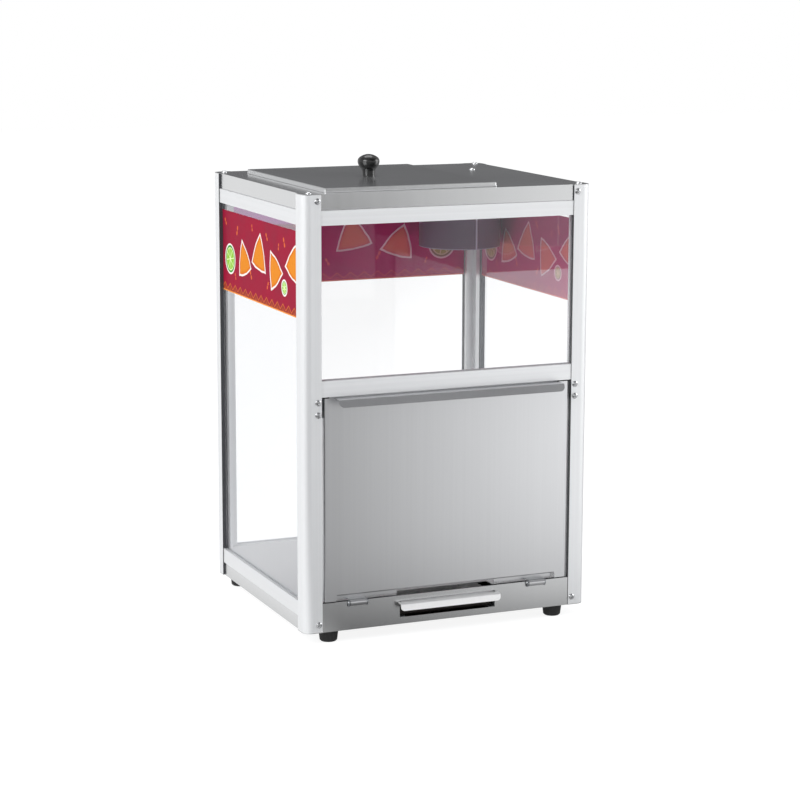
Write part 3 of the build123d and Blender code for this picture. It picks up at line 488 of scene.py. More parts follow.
@dataclass(frozen=True)
class ClearAcrylic:
    """Cast acrylic sheet: clear, and mirror-like where it is seen at a slant."""

    name: str
    colour: str
    haze: float
    ior: float = 1.49
    gloss: float = 1.8
    roughness: float = 0.03
    wipe_mm: float = 71.43
    wipe_stretch: Triple = (1.0, 1.0, 0.35)
    wipe_contrast: Pair = (0.35, 0.7)
    wipe_swing: float = 0.05

    def material(self) -> bpy.types.Material:
        """Lets only the surface gloss and a trace of haze cover what is behind it.

        Returns:
            The finished material.
        """
        sheet = Sheet(self.name)
        wipes = sheet.cells(self.wipe_mm, self.wipe_stretch)
        rough = sheet.put(Do.RAMP, wipes, *self.wipe_contrast, self.wipe_swing)
        gloss = sheet.add("ShaderNodeFresnel", {}, {0: self.ior}).outputs[0]
        inside = sheet.add("ShaderNodeNewGeometry").outputs["Backfacing"]
        # the face that light enters by stands for both faces, and the far one stays out of it
        outside = sheet.put(Do.MULTIPLY_ADD, inside, -self.gloss, self.gloss)
        gloss = sheet.put(Do.MULTIPLY, gloss, outside)
        return sheet.finish(
            Base_Color=linear(self.colour),
            Metallic=1.0,
            Roughness=sheet.put(Do.ADD, rough, self.roughness),
            Alpha=sheet.put(Do.ADD, gloss, self.haze),
        )


@dataclass(frozen=True)
class Moulded:
    """A moulded plastic, rubber or porcelain part: one colour, a fine grain and its own gloss."""

    name: str
    colour: str
    roughness: float
    grain_mm: float = 0.6
    relief_mm: float = 0.02
    coat: float = 0.0
    coat_roughness: float = 0.08
    ior: float = 1.5
    grains_to_cell: float = 3.0
    contrast: Pair = (0.35, 0.75)
    pale: Pair = (1.25, 0.002)
    relief: float = 0.25

    def material(self) -> bpy.types.Material:
        """Draws a grain that gives relief and a slight change of tone.

        Returns:
            The finished material.
        """
        sheet = Sheet(self.name)
        grain = sheet.cells(self.grains_to_cell * self.grain_mm, detail=2.0)
        base = linear(self.colour)
        share = sheet.put(Do.RAMP, grain, *self.contrast)
        return sheet.finish(
            Base_Color=sheet.put(Do.MIX, share, base, scaled(base, *self.pale)),
            Roughness=self.roughness,
            IOR=self.ior,
            Coat_Weight=self.coat,
            Coat_Roughness=self.coat_roughness,
            Normal=sheet.put(Do.BUMP, grain, self.relief, self.relief_mm * MM),
        )


@dataclass(frozen=True)
class PlatedSteel:
    """Zinc-plated steel: even colour, slightly mottled in tone and in shine."""

    name: str
    colour: str
    roughness: float
    mottle: float
    mottle_mm: float
    spots_to_cell: float = 3.0
    contrast: Pair = (0.3, 0.7)
    shiny: float = 0.85
    dull: float = 1.2

    def material(self) -> bpy.types.Material:
        """Draws a mottle that dulls the plating where it is pale.

        Returns:
            The finished material.
        """
        sheet = Sheet(self.name)
        cloud = sheet.cells(self.spots_to_cell * self.mottle_mm, detail=4.0)
        base = linear(self.colour)
        dark = scaled(base, 1.0 - self.mottle)
        span = self.roughness * (self.dull - self.shiny)
        rough = sheet.put(Do.RAMP, cloud, *self.contrast, span)
        return sheet.finish(
            Base_Color=sheet.put(Do.MIX, sheet.put(Do.RAMP, cloud, *self.contrast), dark, base),
            Metallic=1.0,
            Roughness=sheet.put(Do.ADD, rough, self.roughness * self.shiny),
        )


@dataclass(frozen=True)
class EnamelledCan:
    """Stoved enamel over sheet: satin, with painted highlight along the lock seam and lower rim.

    proud_mm is how far outside the wall's radius the painted highlight starts and is full, and
    rim_mm the heights over the lower edge between which it does so on the rim.
    """

    name: str
    colour: str
    axis_mm: Pair
    radius_mm: float
    low_mm: float
    shade: float = 0.9
    roughness: float = 0.4
    # pale, part-metallic colour of the painted highlight on the seam and the rim
    lighter: str = "c6c0d2"
    highlight_metallic: float = 0.4
    proud_mm: Pair = (0.15, 0.3)
    rim_mm: Pair = (1.3, 0.9)
    rim_share: float = 0.55
    cloud_mm: float = 38.46
    contrast: Pair = (0.3, 0.7)
    peel_mm: float = 1.111
    relief: float = 0.08
    relief_mm: float = 0.01

    def material(self) -> bpy.types.Material:
        """Draws enamel, highlight painted where a point stands proud of the wall or lies on the
        rim.

        Returns:
            The finished material.
        """
        sheet = Sheet(self.name)
        cloud = sheet.cells(self.cloud_mm)
        peel = sheet.cells(self.peel_mm, detail=1.0)
        place = sheet.add("ShaderNodeSeparateXYZ", {}, {0: sheet.place}).outputs
        x = sheet.put(Do.SUBTRACT, place[0], self.axis_mm[0] * MM)
        y = sheet.put(Do.SUBTRACT, place[1], self.axis_mm[1] * MM)
        square = sheet.put(Do.ADD, sheet.put(Do.MULTIPLY, x, x), sheet.put(Do.MULTIPLY, y, y))
        out = sheet.put(Do.SQRT, square)
        proud = sheet.put(Do.RAMP, out, *((self.radius_mm + more) * MM for more in self.proud_mm))
        edge = ((self.low_mm + more) * MM for more in self.rim_mm)
        rim = sheet.put(Do.RAMP, place[2], *edge, self.rim_share)
        base = linear(self.colour)
        share = sheet.put(Do.RAMP, cloud, *self.contrast)
        enamel = sheet.put(Do.MIX, share, scaled(base, self.shade), base)
        # painted highlight on the lock seam and the lower rim
        painted_light = sheet.put(Do.MAXIMUM, proud, rim)
        return sheet.finish(
            Base_Color=sheet.put(Do.MIX, painted_light, enamel, linear(self.lighter)),
            Metallic=sheet.put(Do.MULTIPLY, painted_light, self.highlight_metallic),
            Roughness=self.roughness,
            Normal=sheet.put(Do.BUMP, peel, self.relief, self.relief_mm * MM),
        )


@dataclass(frozen=True)
class OpalGlass:
    """Opal lamp glass: white and smooth, with a soft body."""

    name: str
    colour: str
    shade: float = 0.94
    cloud_mm: float = 25.0
    roughness: float = 0.12
    soft: float = 0.3
    soft_mm: float = 4.0

    def material(self) -> bpy.types.Material:
        """Draws a pale, faintly clouded body under a clear gloss.

        Returns:
            The finished material.
        """
        sheet = Sheet(self.name)
        cloud = sheet.cells(self.cloud_mm, detail=2.0)
        base = linear(self.colour)
        return sheet.finish(
            Base_Color=sheet.put(Do.MIX, cloud, scaled(base, self.shade), base),
            Roughness=self.roughness,
            Subsurface_Weight=self.soft,
            Subsurface_Radius=(self.soft_mm * MM,) * 3,
        )


@dataclass(frozen=True)
class Stamp:
    """One printed motif: where its middle is on the band, its half size and its turn."""

    u: float
    v: float
    size: float
    turn: float = 0.0


@dataclass(frozen=True)
class Band:
    """A film being drawn: its sheet, and its sockets for the place along it and the height."""

    sheet: Sheet
    u: Socket
    v: Socket

    def polar(self, stamp: Stamp) -> tuple[Socket, Socket]:
        """Measures round a stamp's middle.

        Args:
            stamp: the motif.

        Returns:
            Radius in metres, and angle in radians with the stamp's turn taken in.
        """
        put = self.sheet.put
        du, dv = put(Do.SUBTRACT, self.u, stamp.u), put(Do.SUBTRACT, self.v, stamp.v)
        square = put(Do.ADD, put(Do.MULTIPLY, du, du), put(Do.MULTIPLY, dv, dv))
        # two whole turns more keep the angle positive, for the remainders taken of it
        turn = 4.0 * math.pi + math.radians(stamp.turn)
        return put(Do.SQRT, square), put(Do.ADD, put(Do.ARCTAN2, dv, du), turn)


@dataclass(frozen=True)
class PrintedFilm:
    """Screen-printed film: crimson ground, corn chips, lime slices and a zigzag lower border.

    A motif's rings are given as shares of its half size, from where a colour starts to
    where it is full. Seen from inside, painted backlight turns the film pinker, more so on its
    margin.
    """

    name: str
    along: Along
    low: float
    chips: tuple[Stamp, ...]
    limes: tuple[Stamp, ...]
    flecks: tuple[Stamp, ...]
    inward: Triple
    margin_share: float
    ground: str = "a01234"
    shade: str = "8e1f38"
    cloud_mm: float = 41.67
    cloud_contrast: Pair = (0.3, 0.7)
    border: str = "97362c"
    zigzag: str = "d9702f"
    zigzag_line: Triple = (1.0 * MM, 0.55 * MM, 0.9)
    inner: str = "b84f2b"
    inner_share: float = 0.7
    edge: str = "f39a48"
    fine: float = 0.2 * MM
    zigzag_pitch: float = 21.0 * MM
    zigzag_height: float = 8.0 * MM
    zigzag_rise: float = 3.6 * MM
    inner_drop: float = 5.2 * MM
    edge_top: float = 1.9 * MM
    outline: str = "f7efe9"
    outline_width: float = 2.4 * MM
    soft: float = 0.5 * MM
    corn: str = "e38a22"
    chip_reach: float = 0.56
    chip_bow: float = 0.2
    toast: str = "cd5c12"
    toast_width: float = 5.0 * MM
    toast_share: float = 0.75
    speck: str = "c8691f"
    speck_mm: float = 1.923
    speck_contrast: Triple = (0.66, 0.72, 0.6)
    wobble: float = 3.0 * MM
    wobble_mm: float = 16.67
    rind: str = "3f9a3a"
    pith: str = "e4f2b4"
    pith_ring: Pair = (0.86, 0.82)
    flesh: str = "8fc63d"
    flesh_ring: Pair = (0.78, 0.74)
    spoke: Pair = (0.5 * MM, 0.9 * MM)
    spark: str = "e8743a"
    spark_slimness: float = 3.0
    spark_edge: Triple = (0.0, 0.4 * MM, 0.85)
    # painted backlight: pink seen from inside, and violet on the upper margin
    inside: str = "ff52aa"
    backlight_share: float = 0.4
    inside_facing: Pair = (0.4, 0.6)
    margin: str = "ff66ec"
    margin_low: float = 83.0 * MM
    margin_high: float = 86.0 * MM
    roughness: float = 0.5
    specular: float = 0.04

    def border_print(self, band: Band, rise: Socket, colour: Socket) -> Socket:
        """Prints the border: teeth a pitch apart, whose height falls to nought in their middle.

        Args:
            band: the film being drawn.
            rise: height over the film's lower edge, in metres.
            colour: what is printed so far.

        Returns:
            The colour with the border on it.
        """
        put = band.sheet.put
        turn = put(Do.FRACT, put(Do.ADD, put(Do.DIVIDE, band.u, self.zigzag_pitch), 100.0))
        tooth = put(Do.ABSOLUTE, put(Do.SUBTRACT, turn, 0.5))
        tooth = put(Do.MULTIPLY, tooth, 2.0 * self.zigzag_height)
        over = put(Do.SUBTRACT, put(Do.SUBTRACT, rise, tooth), self.zigzag_rise)
        below = put(Do.RAMP, over, self.fine, -self.fine)
        colour = put(Do.MIX, below, colour, linear(self.border))
        line = put(Do.RAMP, put(Do.ABSOLUTE, over), *self.zigzag_line)
        colour = put(Do.MIX, line, colour, linear(self.zigzag))
        inner = put(Do.ADD, over, self.inner_drop)
        inner = put(Do.RAMP, inner, self.fine, -self.fine, self.inner_share)
        colour = put(Do.MIX, inner, colour, linear(self.inner))
        edge = put(Do.RAMP, rise, self.edge_top, self.edge_top - self.soft)
        return put(Do.MIX, edge, colour, linear(self.edge))

    def outlined(self, band: Band, out: Socket, half: float, colour: Socket) -> Socket:
        """Prints a motif's pale outline.

        Args:
            band: the film being drawn.
            out: distance out from the motif's middle.
            half: the distance at which the motif ends.
            colour: what is printed so far.

        Returns:
            The colour with the outline's shape filled.
        """
        reach = half + self.outline_width
        share = band.sheet.put(Do.RAMP, out, reach, reach - self.soft)
        return band.sheet.put(Do.MIX, share, colour, linear(self.outline))

    def chip(self, band: Band, colour: Socket, wobble: Socket, stamp: Stamp) -> Socket:
        """Prints one three-cornered corn chip.

        Its distance out is r cos(angle folded to a third of a turn), which is even along
        a straight side, with some of r mixed in to bow the sides and round the corners.

        Args:
            band: the film being drawn.
            colour: what is printed so far.
            wobble: what makes the outline uneven.
            stamp: the chip's place.

        Returns:
            The colour with the chip on it.
        """
        put = band.sheet.put
        radius, angle = band.polar(stamp)
        third = 2.0 * math.pi / 3.0
        fold = put(Do.SUBTRACT, put(Do.MODULO, angle, third), third / 2.0)
        flat = put(Do.MULTIPLY, radius, put(Do.COSINE, fold))
        flat = put(Do.MULTIPLY, flat, 1.0 - self.chip_bow)
        out = put(Do.ADD, flat, put(Do.MULTIPLY, radius, self.chip_bow))
        out = put(Do.ADD, out, wobble)
        half = stamp.size * self.chip_reach
        toast = put(Do.RAMP, out, half - self.toast_width, half, self.toast_share)
        fill = put(Do.MIX, toast, linear(self.corn), linear(self.toast))
        specks = band.sheet.cells(self.speck_mm, detail=1.0)
        specks = put(Do.RAMP, specks, *self.speck_contrast)
        fill = put(Do.MIX, specks, fill, linear(self.speck))
        colour = self.outlined(band, out, half, colour)
        return put(Do.MIX, put(Do.RAMP, out, half, half - self.soft), colour, fill)

    def lime(self, band: Band, colour: Socket, stamp: Stamp) -> Socket:
        """Prints one lime slice: rings by radius, and eight wedges.

        A wedge ends where r sin(angle from the nearest spoke) nears nought.

        Args:
            band: the film being drawn.
            colour: what is printed so far.
            stamp: the slice's place.

        Returns:
            The colour with the slice on it.
        """
        put = band.sheet.put
        radius, angle = band.polar(stamp)
        eighth = math.pi / 4.0
        fold = put(Do.SUBTRACT, put(Do.MODULO, angle, eighth), eighth / 2.0)
        spoke = put(Do.SUBTRACT, eighth / 2.0, put(Do.ABSOLUTE, fold))
        wedge = put(Do.MULTIPLY, radius, put(Do.SINE, spoke))
        half = stamp.size
        colour = self.outlined(band, radius, half, colour)
        rind = put(Do.RAMP, radius, half, half - self.soft)
        colour = put(Do.MIX, rind, colour, linear(self.rind))
        pith = put(Do.RAMP, radius, *(half * share for share in self.pith_ring))
        colour = put(Do.MIX, pith, colour, linear(self.pith))
        within = put(Do.RAMP, radius, *(half * share for share in self.flesh_ring))
        flesh = put(Do.MULTIPLY, within, put(Do.RAMP, wedge, *self.spoke))
        return put(Do.MIX, flesh, colour, linear(self.flesh))

    def fleck(self, band: Band, colour: Socket, stamp: Stamp) -> Socket:
        """Prints one slim spark: its reach is its size times a power of the angle's cosine.

        Args:
            band: the film being drawn.
            colour: what is printed so far.
            stamp: the spark's place.

        Returns:
            The colour with the spark on it.
        """
        put = band.sheet.put
        radius, angle = band.polar(stamp)
        slim = put(Do.ABSOLUTE, put(Do.COSINE, angle))
        slim = put(Do.POWER, slim, self.spark_slimness)
        reach = put(Do.MULTIPLY, slim, stamp.size)
        share = put(Do.RAMP, put(Do.SUBTRACT, reach, radius), *self.spark_edge)
        return put(Do.MIX, share, colour, linear(self.spark))

    def material(self) -> bpy.types.Material:
        """Prints ground, border, flecks, limes and chips, with painted backlight as seen from
        inside.

        Returns:
            The finished material.
        """
        sheet = Sheet(self.name)
        put = sheet.put
        place = sheet.add("ShaderNodeSeparateXYZ", {}, {0: sheet.place}).outputs
        band = Band(sheet, place[self.along.value], place[2])
        cloud = put(Do.RAMP, sheet.cells(self.cloud_mm), *self.cloud_contrast)
        colour = put(Do.MIX, cloud, linear(self.shade), linear(self.ground))
        rise = put(Do.SUBTRACT, band.v, self.low)
        colour = self.border_print(band, rise, colour)
        for stamp in self.flecks:
            colour = self.fleck(band, colour, stamp)
        wobble = put(Do.SUBTRACT, sheet.cells(self.wobble_mm, detail=1.0), 0.5)
        wobble = put(Do.MULTIPLY, wobble, self.wobble)
        for stamp in self.limes:
            colour = self.lime(band, colour, stamp)
        for stamp in self.chips:
            colour = self.chip(band, colour, wobble, stamp)
        back = put(Do.RAMP, put(Do.DOT, sheet.facing, self.inward), *self.inside_facing)
        # painted backlight over the film where it is seen from inside, stronger on the upper
        # margin
        backlight = put(Do.MULTIPLY, back, self.backlight_share)
        colour = put(Do.MIX, backlight, colour, linear(self.inside))
        top = put(Do.RAMP, rise, self.margin_low, self.margin_high, self.margin_share)
        colour = put(Do.MIX, put(Do.MULTIPLY, back, top), colour, linear(self.margin))
        return sheet.finish(
            Base_Color=colour, Roughness=self.roughness, Specular_IOR_Level=self.specular
        )


def grid_mesh(name: str, points: np.ndarray, closed: bool) -> bpy.types.Mesh:
    """Makes a mesh of four-sided faces from a grid of points.

    Args:
        name: the mesh's name.
        points: an array of shape (rows, columns, 3); faces point along d(row) x d(column).
        closed: whether the last column joins the first.

    Returns:
        The new mesh, smooth shaded.
    """
    rows, columns = points.shape[:2]
    i = np.arange(rows - 1)
    j = np.arange(columns if closed else columns - 1)
    a, b = np.meshgrid(i, j, indexing="ij")
    c, d = a + 1, (b + 1) % columns
    near, far = a * columns, c * columns
    faces = np.stack([near + b, far + b, far + d, near + d], -1).reshape(-1, 4)
    return face_mesh(name, points.reshape(-1, 3), faces)


def face_mesh(name: str, points: np.ndarray, faces: np.ndarray) -> bpy.types.Mesh:
    """Makes a smooth mesh from points and four-sided faces, with points closer than MERGE joined.

    Args:
        name: the mesh's name.
        points: an array of shape (n, 3), in metres.
        faces: an array of shape (m, 4) of point numbers.

    Returns:
        The new mesh.
    """
    keys = np.round(points / MERGE).astype(np.int64)
    _, first, back = np.unique(keys, axis=0, return_index=True, return_inverse=True)
    faces = back.reshape(-1)[faces]
    points = points[first]
    keep = faces != np.roll(faces, -1, axis=1)
    whole = keep.sum(1) > 2
    faces, keep = faces[whole], keep[whole]
    counts = keep.sum(1)
    loops = faces[keep]
    starts = np.concatenate([[0], np.cumsum(counts)[:-1]])
    mesh = bpy.data.meshes.new(name)
    mesh.vertices.add(len(points))
    mesh.vertices.foreach_set("co", points.astype(np.float32).ravel())
    mesh.loops.add(len(loops))
    mesh.loops.foreach_set("vertex_index", loops.astype(np.int32))
    mesh.polygons.add(len(counts))
    mesh.polygons.foreach_set("loop_start", starts.astype(np.int32))
    mesh.polygons.foreach_set("use_smooth", np.ones(len(counts), bool))
    mesh.update(calc_edges=True)
    mesh.validate()
    return mesh


def bar_mesh(name: str, bars: list[tuple[list[Pair], float, float]]) -> bpy.types.Mesh:
    """Makes straight bars along X: each section's corners are carried from low to high.

    Args:
        name: the mesh's name.
        bars: section, low and high of each bar; a section lists its (y, z) corners, with
            y turning to z.

    Returns:
        The bars as one mesh, closed at their ends, flat shaded.
    """
    points: list[Triple] = []
    faces: list[tuple[int, ...]] = []
    for section, low, high in bars:
        first, count = len(points), len(section)
        points.extend((x, y, z) for x in (low, high) for y, z in section)
        near = np.arange(count)
        after = (near + 1) % count
        sides = first + np.stack([near, after, after + count, near + count], -1)
        faces.extend(map(tuple, sides.tolist()))
        faces.append(tuple((first + near[::-1]).tolist()))
        faces.append(tuple((first + count + near).tolist()))
    mesh = bpy.data.meshes.new(name)
    mesh.from_pydata(points, [], faces)
    mesh.validate()
    return mesh


def place_piece(
    mesh: bpy.types.Mesh, material: bpy.types.Material, body: str
) -> bpy.types.Object:
    """Links a finished mesh as a piece that rides on a body.

    Args:
        mesh: the piece's mesh, already in place.
        material: its finish.
        body: the body it moves with.

    Returns:
        The new object, at the origin.
    """
    mesh.materials.append(material)
    piece = bpy.data.objects.new(mesh.name, mesh)
    bpy.context.scene.collection.objects.link(piece)
    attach(piece, body)
    LOG.info("%s: %d faces", mesh.name, len(mesh.polygons))
    return piece


def dress(nodes: Nodes, names: tuple[str, ...], material: bpy.types.Material) -> None:
    """Gives frame nodes a material.

    Args:
        nodes: the frame's nodes by name.
        names: the nodes to dress.
        material: their finish.
    """
    for name in names:
        mesh = nodes[name].data
        mesh.materials.clear()
        mesh.materials.append(material)
        LOG.info("%s: %s", name, material.name)


@dataclass
class ScrewHeads:
    """Pan heads with a cross recess, over the plain heads of the frame."""

    radius: float = 4.0 * MM
    height: float = 2.5 * MM
    edge: float = 0.9 * MM
    recess: float = 2.1 * MM
    recess_depth: float = 1.5 * MM
    recess_end: float = 0.7 * MM
    slot_half: float = 0.55 * MM
    slot_slope: float = 0.3 * MM
    rings: int = 30
    spokes: int = 64
    first_turn: float = 17.0
    next_turn: float = 37.0
    finish: PlatedSteel = PlatedSteel("screw_bright_zinc", "c9cacc", 0.24, 0.1, 3.0)

    def head(self, centre: Vector, outward: Vector, turn: float) -> np.ndarray:
        """Works out one head as a polar grid.

        The height is a sphere cap over a short side; the cross recess takes away a
        depth that falls off with distance along and across two crossed slots.

        Args:
            centre: middle of the head's seat.
            outward: unit vector out of the surface.
            turn: turn of the recess, in radians.

        Returns:
            Points of shape (rings, spokes, 3), rim first.
        """
        side = np.full(2, self.radius)
        r = np.concatenate([side, np.linspace(self.radius, 0.0, self.rings)])[:, None]
        t = np.linspace(0.0, 2.0 * math.pi, self.spokes, endpoint=False)[None, :]
        x, y = r * np.cos(t), r * np.sin(t)
        rise = self.height - self.edge
        ball = (self.radius**2 + rise**2) / (2.0 * rise)
        z = self.height - ball + np.sqrt(np.maximum(ball**2 - r**2, 0.0)) + 0.0 * t
        z[0] = 0.0
        along = np.maximum(np.abs(x), np.abs(y))
        across = np.minimum(np.abs(x), np.abs(y))
        reach = self.slot_half + self.slot_slope / 2.0
        dip = np.clip((reach - across) / self.slot_slope, 0.0, 1.0)
        dip = dip * np.clip((self.recess - along) / self.recess_end, 0.0, 1.0)
        z[1:] -= self.recess_depth * dip[1:]
        level = abs(outward.z) < 0.5
        beside = Vector((0.0, 0.0, 1.0)) if level else Vector((1.0, 0.0, 0.0))
        first = beside.cross(outward).normalized()
        second = outward.cross(first)
        spin = Matrix.Rotation(turn, 3, outward)
        basis = np.array([spin @ first, spin @ second, outward])
        return np.stack([x, y, z], -1) @ basis + np.array(centre)

    def build(self, name: str, seats: Seats, node: str, body: str) -> None:
        """Makes all heads of one node as one piece.

        Args:
            name: the piece's name.
            seats: middle of the seat and outward direction of each head.
            node: the frame node that the heads belong to.
            body: the body they ride on.
        """
        grids = []
        for number, (centre, outward) in enumerate(seats):
            turn = math.radians(self.first_turn + self.next_turn * number)
            grids.append(self.head(centre, outward, turn))
        rings, spokes = grids[0].shape[:2]
        a, b = np.meshgrid(np.arange(rings - 1), np.arange(spokes), indexing="ij")
        d = (b + 1) % spokes
        outer, inner = a * spokes, (a + 1) * spokes
        quads = np.stack([outer + b, outer + d, inner + d, inner + b], -1).reshape(-1, 4)
        faces = np.concatenate([quads + k * rings * spokes for k in range(len(grids))])
        points = np.concatenate([grid.reshape(-1, 3) for grid in grids])
        mesh = face_mesh(name, points, faces)
        piece = place_piece(mesh, self.finish.material(), body)
        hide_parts(node)


@dataclass
class Cabinet:
    """Posts, rails, folded panels and what is fixed to them."""

    nodes: Nodes
    post: AnodisedAluminium = AnodisedAluminium(
        "post_anodised_aluminium", "ebeced", Along.Z, groove_shade=GrooveShade()
    )
    rail_x: AnodisedAluminium = AnodisedAluminium(
        "rail_anodised_aluminium_x", "eff0f1", Along.X
    )
    rail_y: AnodisedAluminium = AnodisedAluminium(
        "rail_anodised_aluminium_y", "e8e9ea", Along.Y
    )
    panel: BrushedSteel = BrushedSteel("panel_brushed_stainless", "d8d9da", Along.X, 0.23)
    inner: BrushedSteel = BrushedSteel(
        "floor_brushed_stainless", "ededed", Along.X, 0.46, depth=0.022, metallic=0.6
    )
    plated: PlatedSteel = PlatedSteel("bracket_galvanised", "aeb2b6", 0.42, 0.18, 9.0)
    rail_edge: float = 0.8 * MM
    edge_points: int = 5
    groove_setback: float = 4.6 * MM
    groove_width: float = 3.2 * MM
    groove_depth: float = 5.0 * MM
    stop_half: float = 163.5 * MM
    stop_drop: float = 4.0 * MM
    stop_wall: float = 1.6 * MM

    def middle_rail(self) -> bpy.types.Mesh:
        """Makes the rail over the door, with its pane groove and the web that stops the door.

        The section is the node's box with its corners turned through a quarter circle,
        r cos t and r sin t about a point one radius in, and with the groove cut down from
        the top. The web is a second, thin bar under the rail's back edge, between the
        catches.

        Returns:
            The rail's mesh, in place.
        """
        low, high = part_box("mid_rail")
        edge = self.rail_edge
        near = low.y + self.groove_setback
        far = near + self.groove_width
        floor = high.z - self.groove_depth
        quarter = np.linspace(0.0, 90.0, self.edge_points)
        section: list[Pair] = []
        for y, z, start in (
            (low.y + edge, low.z + edge, 180.0),
            (high.y - edge, low.z + edge, 270.0),
            (high.y - edge, high.z - edge, 0.0),
            (low.y + edge, high.z - edge, 90.0),
        ):
            turns = np.radians(start + quarter)
            ys, zs = y + edge * np.cos(turns), z + edge * np.sin(turns)
            section.extend(zip(ys.tolist(), zs.tolist()))
            if start == 0.0:
                section.extend([(far, high.z), (far, floor), (near, floor), (near, high.z)])
        back = high.y - edge
        face = back - self.stop_wall
        foot, head = low.z - self.stop_drop, low.z + edge
        web = [(face, foot), (back, foot), (back, head), (face, head)]
        bars = [(section, low.x, high.x), (web, -self.stop_half, self.stop_half)]
        return bar_mesh("mid_rail_bar", bars)

    def build(self) -> None:
        """Dresses every fixed metal piece."""
        posts = tuple(f"corner_post_{e}_{s}" for e in ("front", "rear") for s in ("left", "right"))
        dress(self.nodes, posts, self.post.material())
        rail_x = self.rail_x.material()
        across = ("top_rail_front", "top_rail_rear", "mid_rail", "low_rail_rear")
        dress(self.nodes, across, rail_x)
        sides = ("top_rail_left", "top_rail_right", "low_rail_left", "low_rail_right")
        dress(self.nodes, sides, self.rail_y.material())
        dress(self.nodes, ("top_panel", "bottom_pan"), self.panel.material())
        rail = place_piece(self.middle_rail(), rail_x, "cabinet")
        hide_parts("mid_rail")
        dress(self.nodes, ("floor_plate",), self.inner.material())
        plated = (
            "top_corner_brackets",
            "low_corner_brackets",
            "catch_plates",
            "tray_runner_left",
            "tray_runner_right",
            "wiring_cover",
            "hinge_bracket_left",
            "hinge_bracket_right",
        )
        dress(self.nodes, plated, self.plated.material())


@dataclass
class Glazing:
    """Acrylic panes and the printed films on three of them.

    A motif is listed as its place along the band, as a share of half the band's length,
    then its height and half size in millimetres and its turn in degrees.
    """

    nodes: Nodes
    pane: ClearAcrylic = ClearAcrylic("pane_cast_acrylic", "f4f7fc", 0.004)
    chips: tuple[Motif, ...] = (
        (-0.84, 66.0, 29.0, 8.0),
        (-0.38, 50.0, 30.0, 62.0),
        (0.02, 63.0, 31.0, 21.0),
        (0.42, 49.0, 29.0, 47.0),
    )
    limes: tuple[Motif, ...] = ((0.80, 46.0, 19.0, 10.0), (-0.62, 33.0, 9.0, 30.0))
    flecks: tuple[Motif, ...] = (
        (-0.62, 92.0, 7.0, -65.0),
        (-0.48, 84.0, 5.0, -100.0),
        (-0.18, 92.0, 6.0, -55.0),
        (-0.20, 28.0, 6.0, -120.0),
        (0.20, 98.0, 5.0, -80.0),
        (0.24, 34.0, 7.0, -60.0),
        (0.60, 88.0, 7.0, -110.0),
        (0.66, 24.0, 5.0, -70.0),
        (0.92, 96.0, 6.0, -50.0),
        (-0.94, 28.0, 6.0, -75.0),
    )

    def film(self, name: str, along: Along, inward: Triple, margin: float) -> PrintedFilm:
        """Lays the motifs out on one band, from the band's own box.

        Args:
            name: the band's node.
            along: the axis that the band runs along.
            inward: the way its inner side faces.
            margin: how strongly painted backlight turns its upper margin violet, seen from inside.

        Returns:
            The band's film.
        """
        low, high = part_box(name)
        middle = (low[along.value] + high[along.value]) / 2.0
        half = (high[along.value] - low[along.value]) / 2.0
        chips, limes, flecks = (
            tuple(
                Stamp(middle + half * at, low.z + up * MM, size * MM, turn)
                for at, up, size, turn in places
            )
            for places in (self.chips, self.limes, self.flecks)
        )
        return PrintedFilm(f"{name}_print", along, low.z, chips, limes, flecks, inward, margin)

    def build(self) -> None:
        """Dresses the panes and the films."""
        panes = ("front_window", "left_pane", "right_pane", "rear_pane")
        dress(self.nodes, panes, self.pane.material())
        for name, along, inward, margin in (
            ("header_band_left", Along.Y, (1.0, 0.0, 0.0), 0.0),
            ("header_band_right", Along.Y, (-1.0, 0.0, 0.0), 0.0),
            ("header_band_rear", Along.X, (0.0, -1.0, 0.0), 0.9),
        ):
            dress(self.nodes, (name,), self.film(name, along, inward, margin).material())


@dataclass
class Lid:
    """The lift-off lid and its knob."""

    nodes: Nodes
    steel: BrushedSteel = BrushedSteel("lid_brushed_stainless", "d2d3d4", Along.X, 0.22)
    knob: Moulded = Moulded("knob_phenolic", "0c0c0c", 0.2, 1.2, 0.004, 0.12)

    def build(self) -> None:
        """Dresses the lid and the knob."""
        dress(self.nodes, ("lid",), self.steel.material())
        dress(self.nodes, ("lid_knob",), self.knob.material())


@dataclass
class Door:
    """The bottom-hinged door with its leaves."""

    nodes: Nodes
    steel: BrushedSteel = BrushedSteel("door_brushed_stainless", "d6d7d9", Along.X, 0.32)

    def build(self) -> None:
        """Dresses the door and its hinge leaves."""
        names = ("door_skin", "hinge_leaf_left", "hinge_leaf_right")
        dress(self.nodes, names, self.steel.material())


@dataclass
class Tray:
    """The crumb tray."""

    nodes: Nodes
    steel: TraySteel = TraySteel(
        "tray_brushed_stainless", "f6f6f6", Along.X, depth=0.02, metallic=0.7
    )

    def build(self) -> None:
        """Dresses the tray."""
        dress(self.nodes, ("crumb_tray",), self.steel.material())


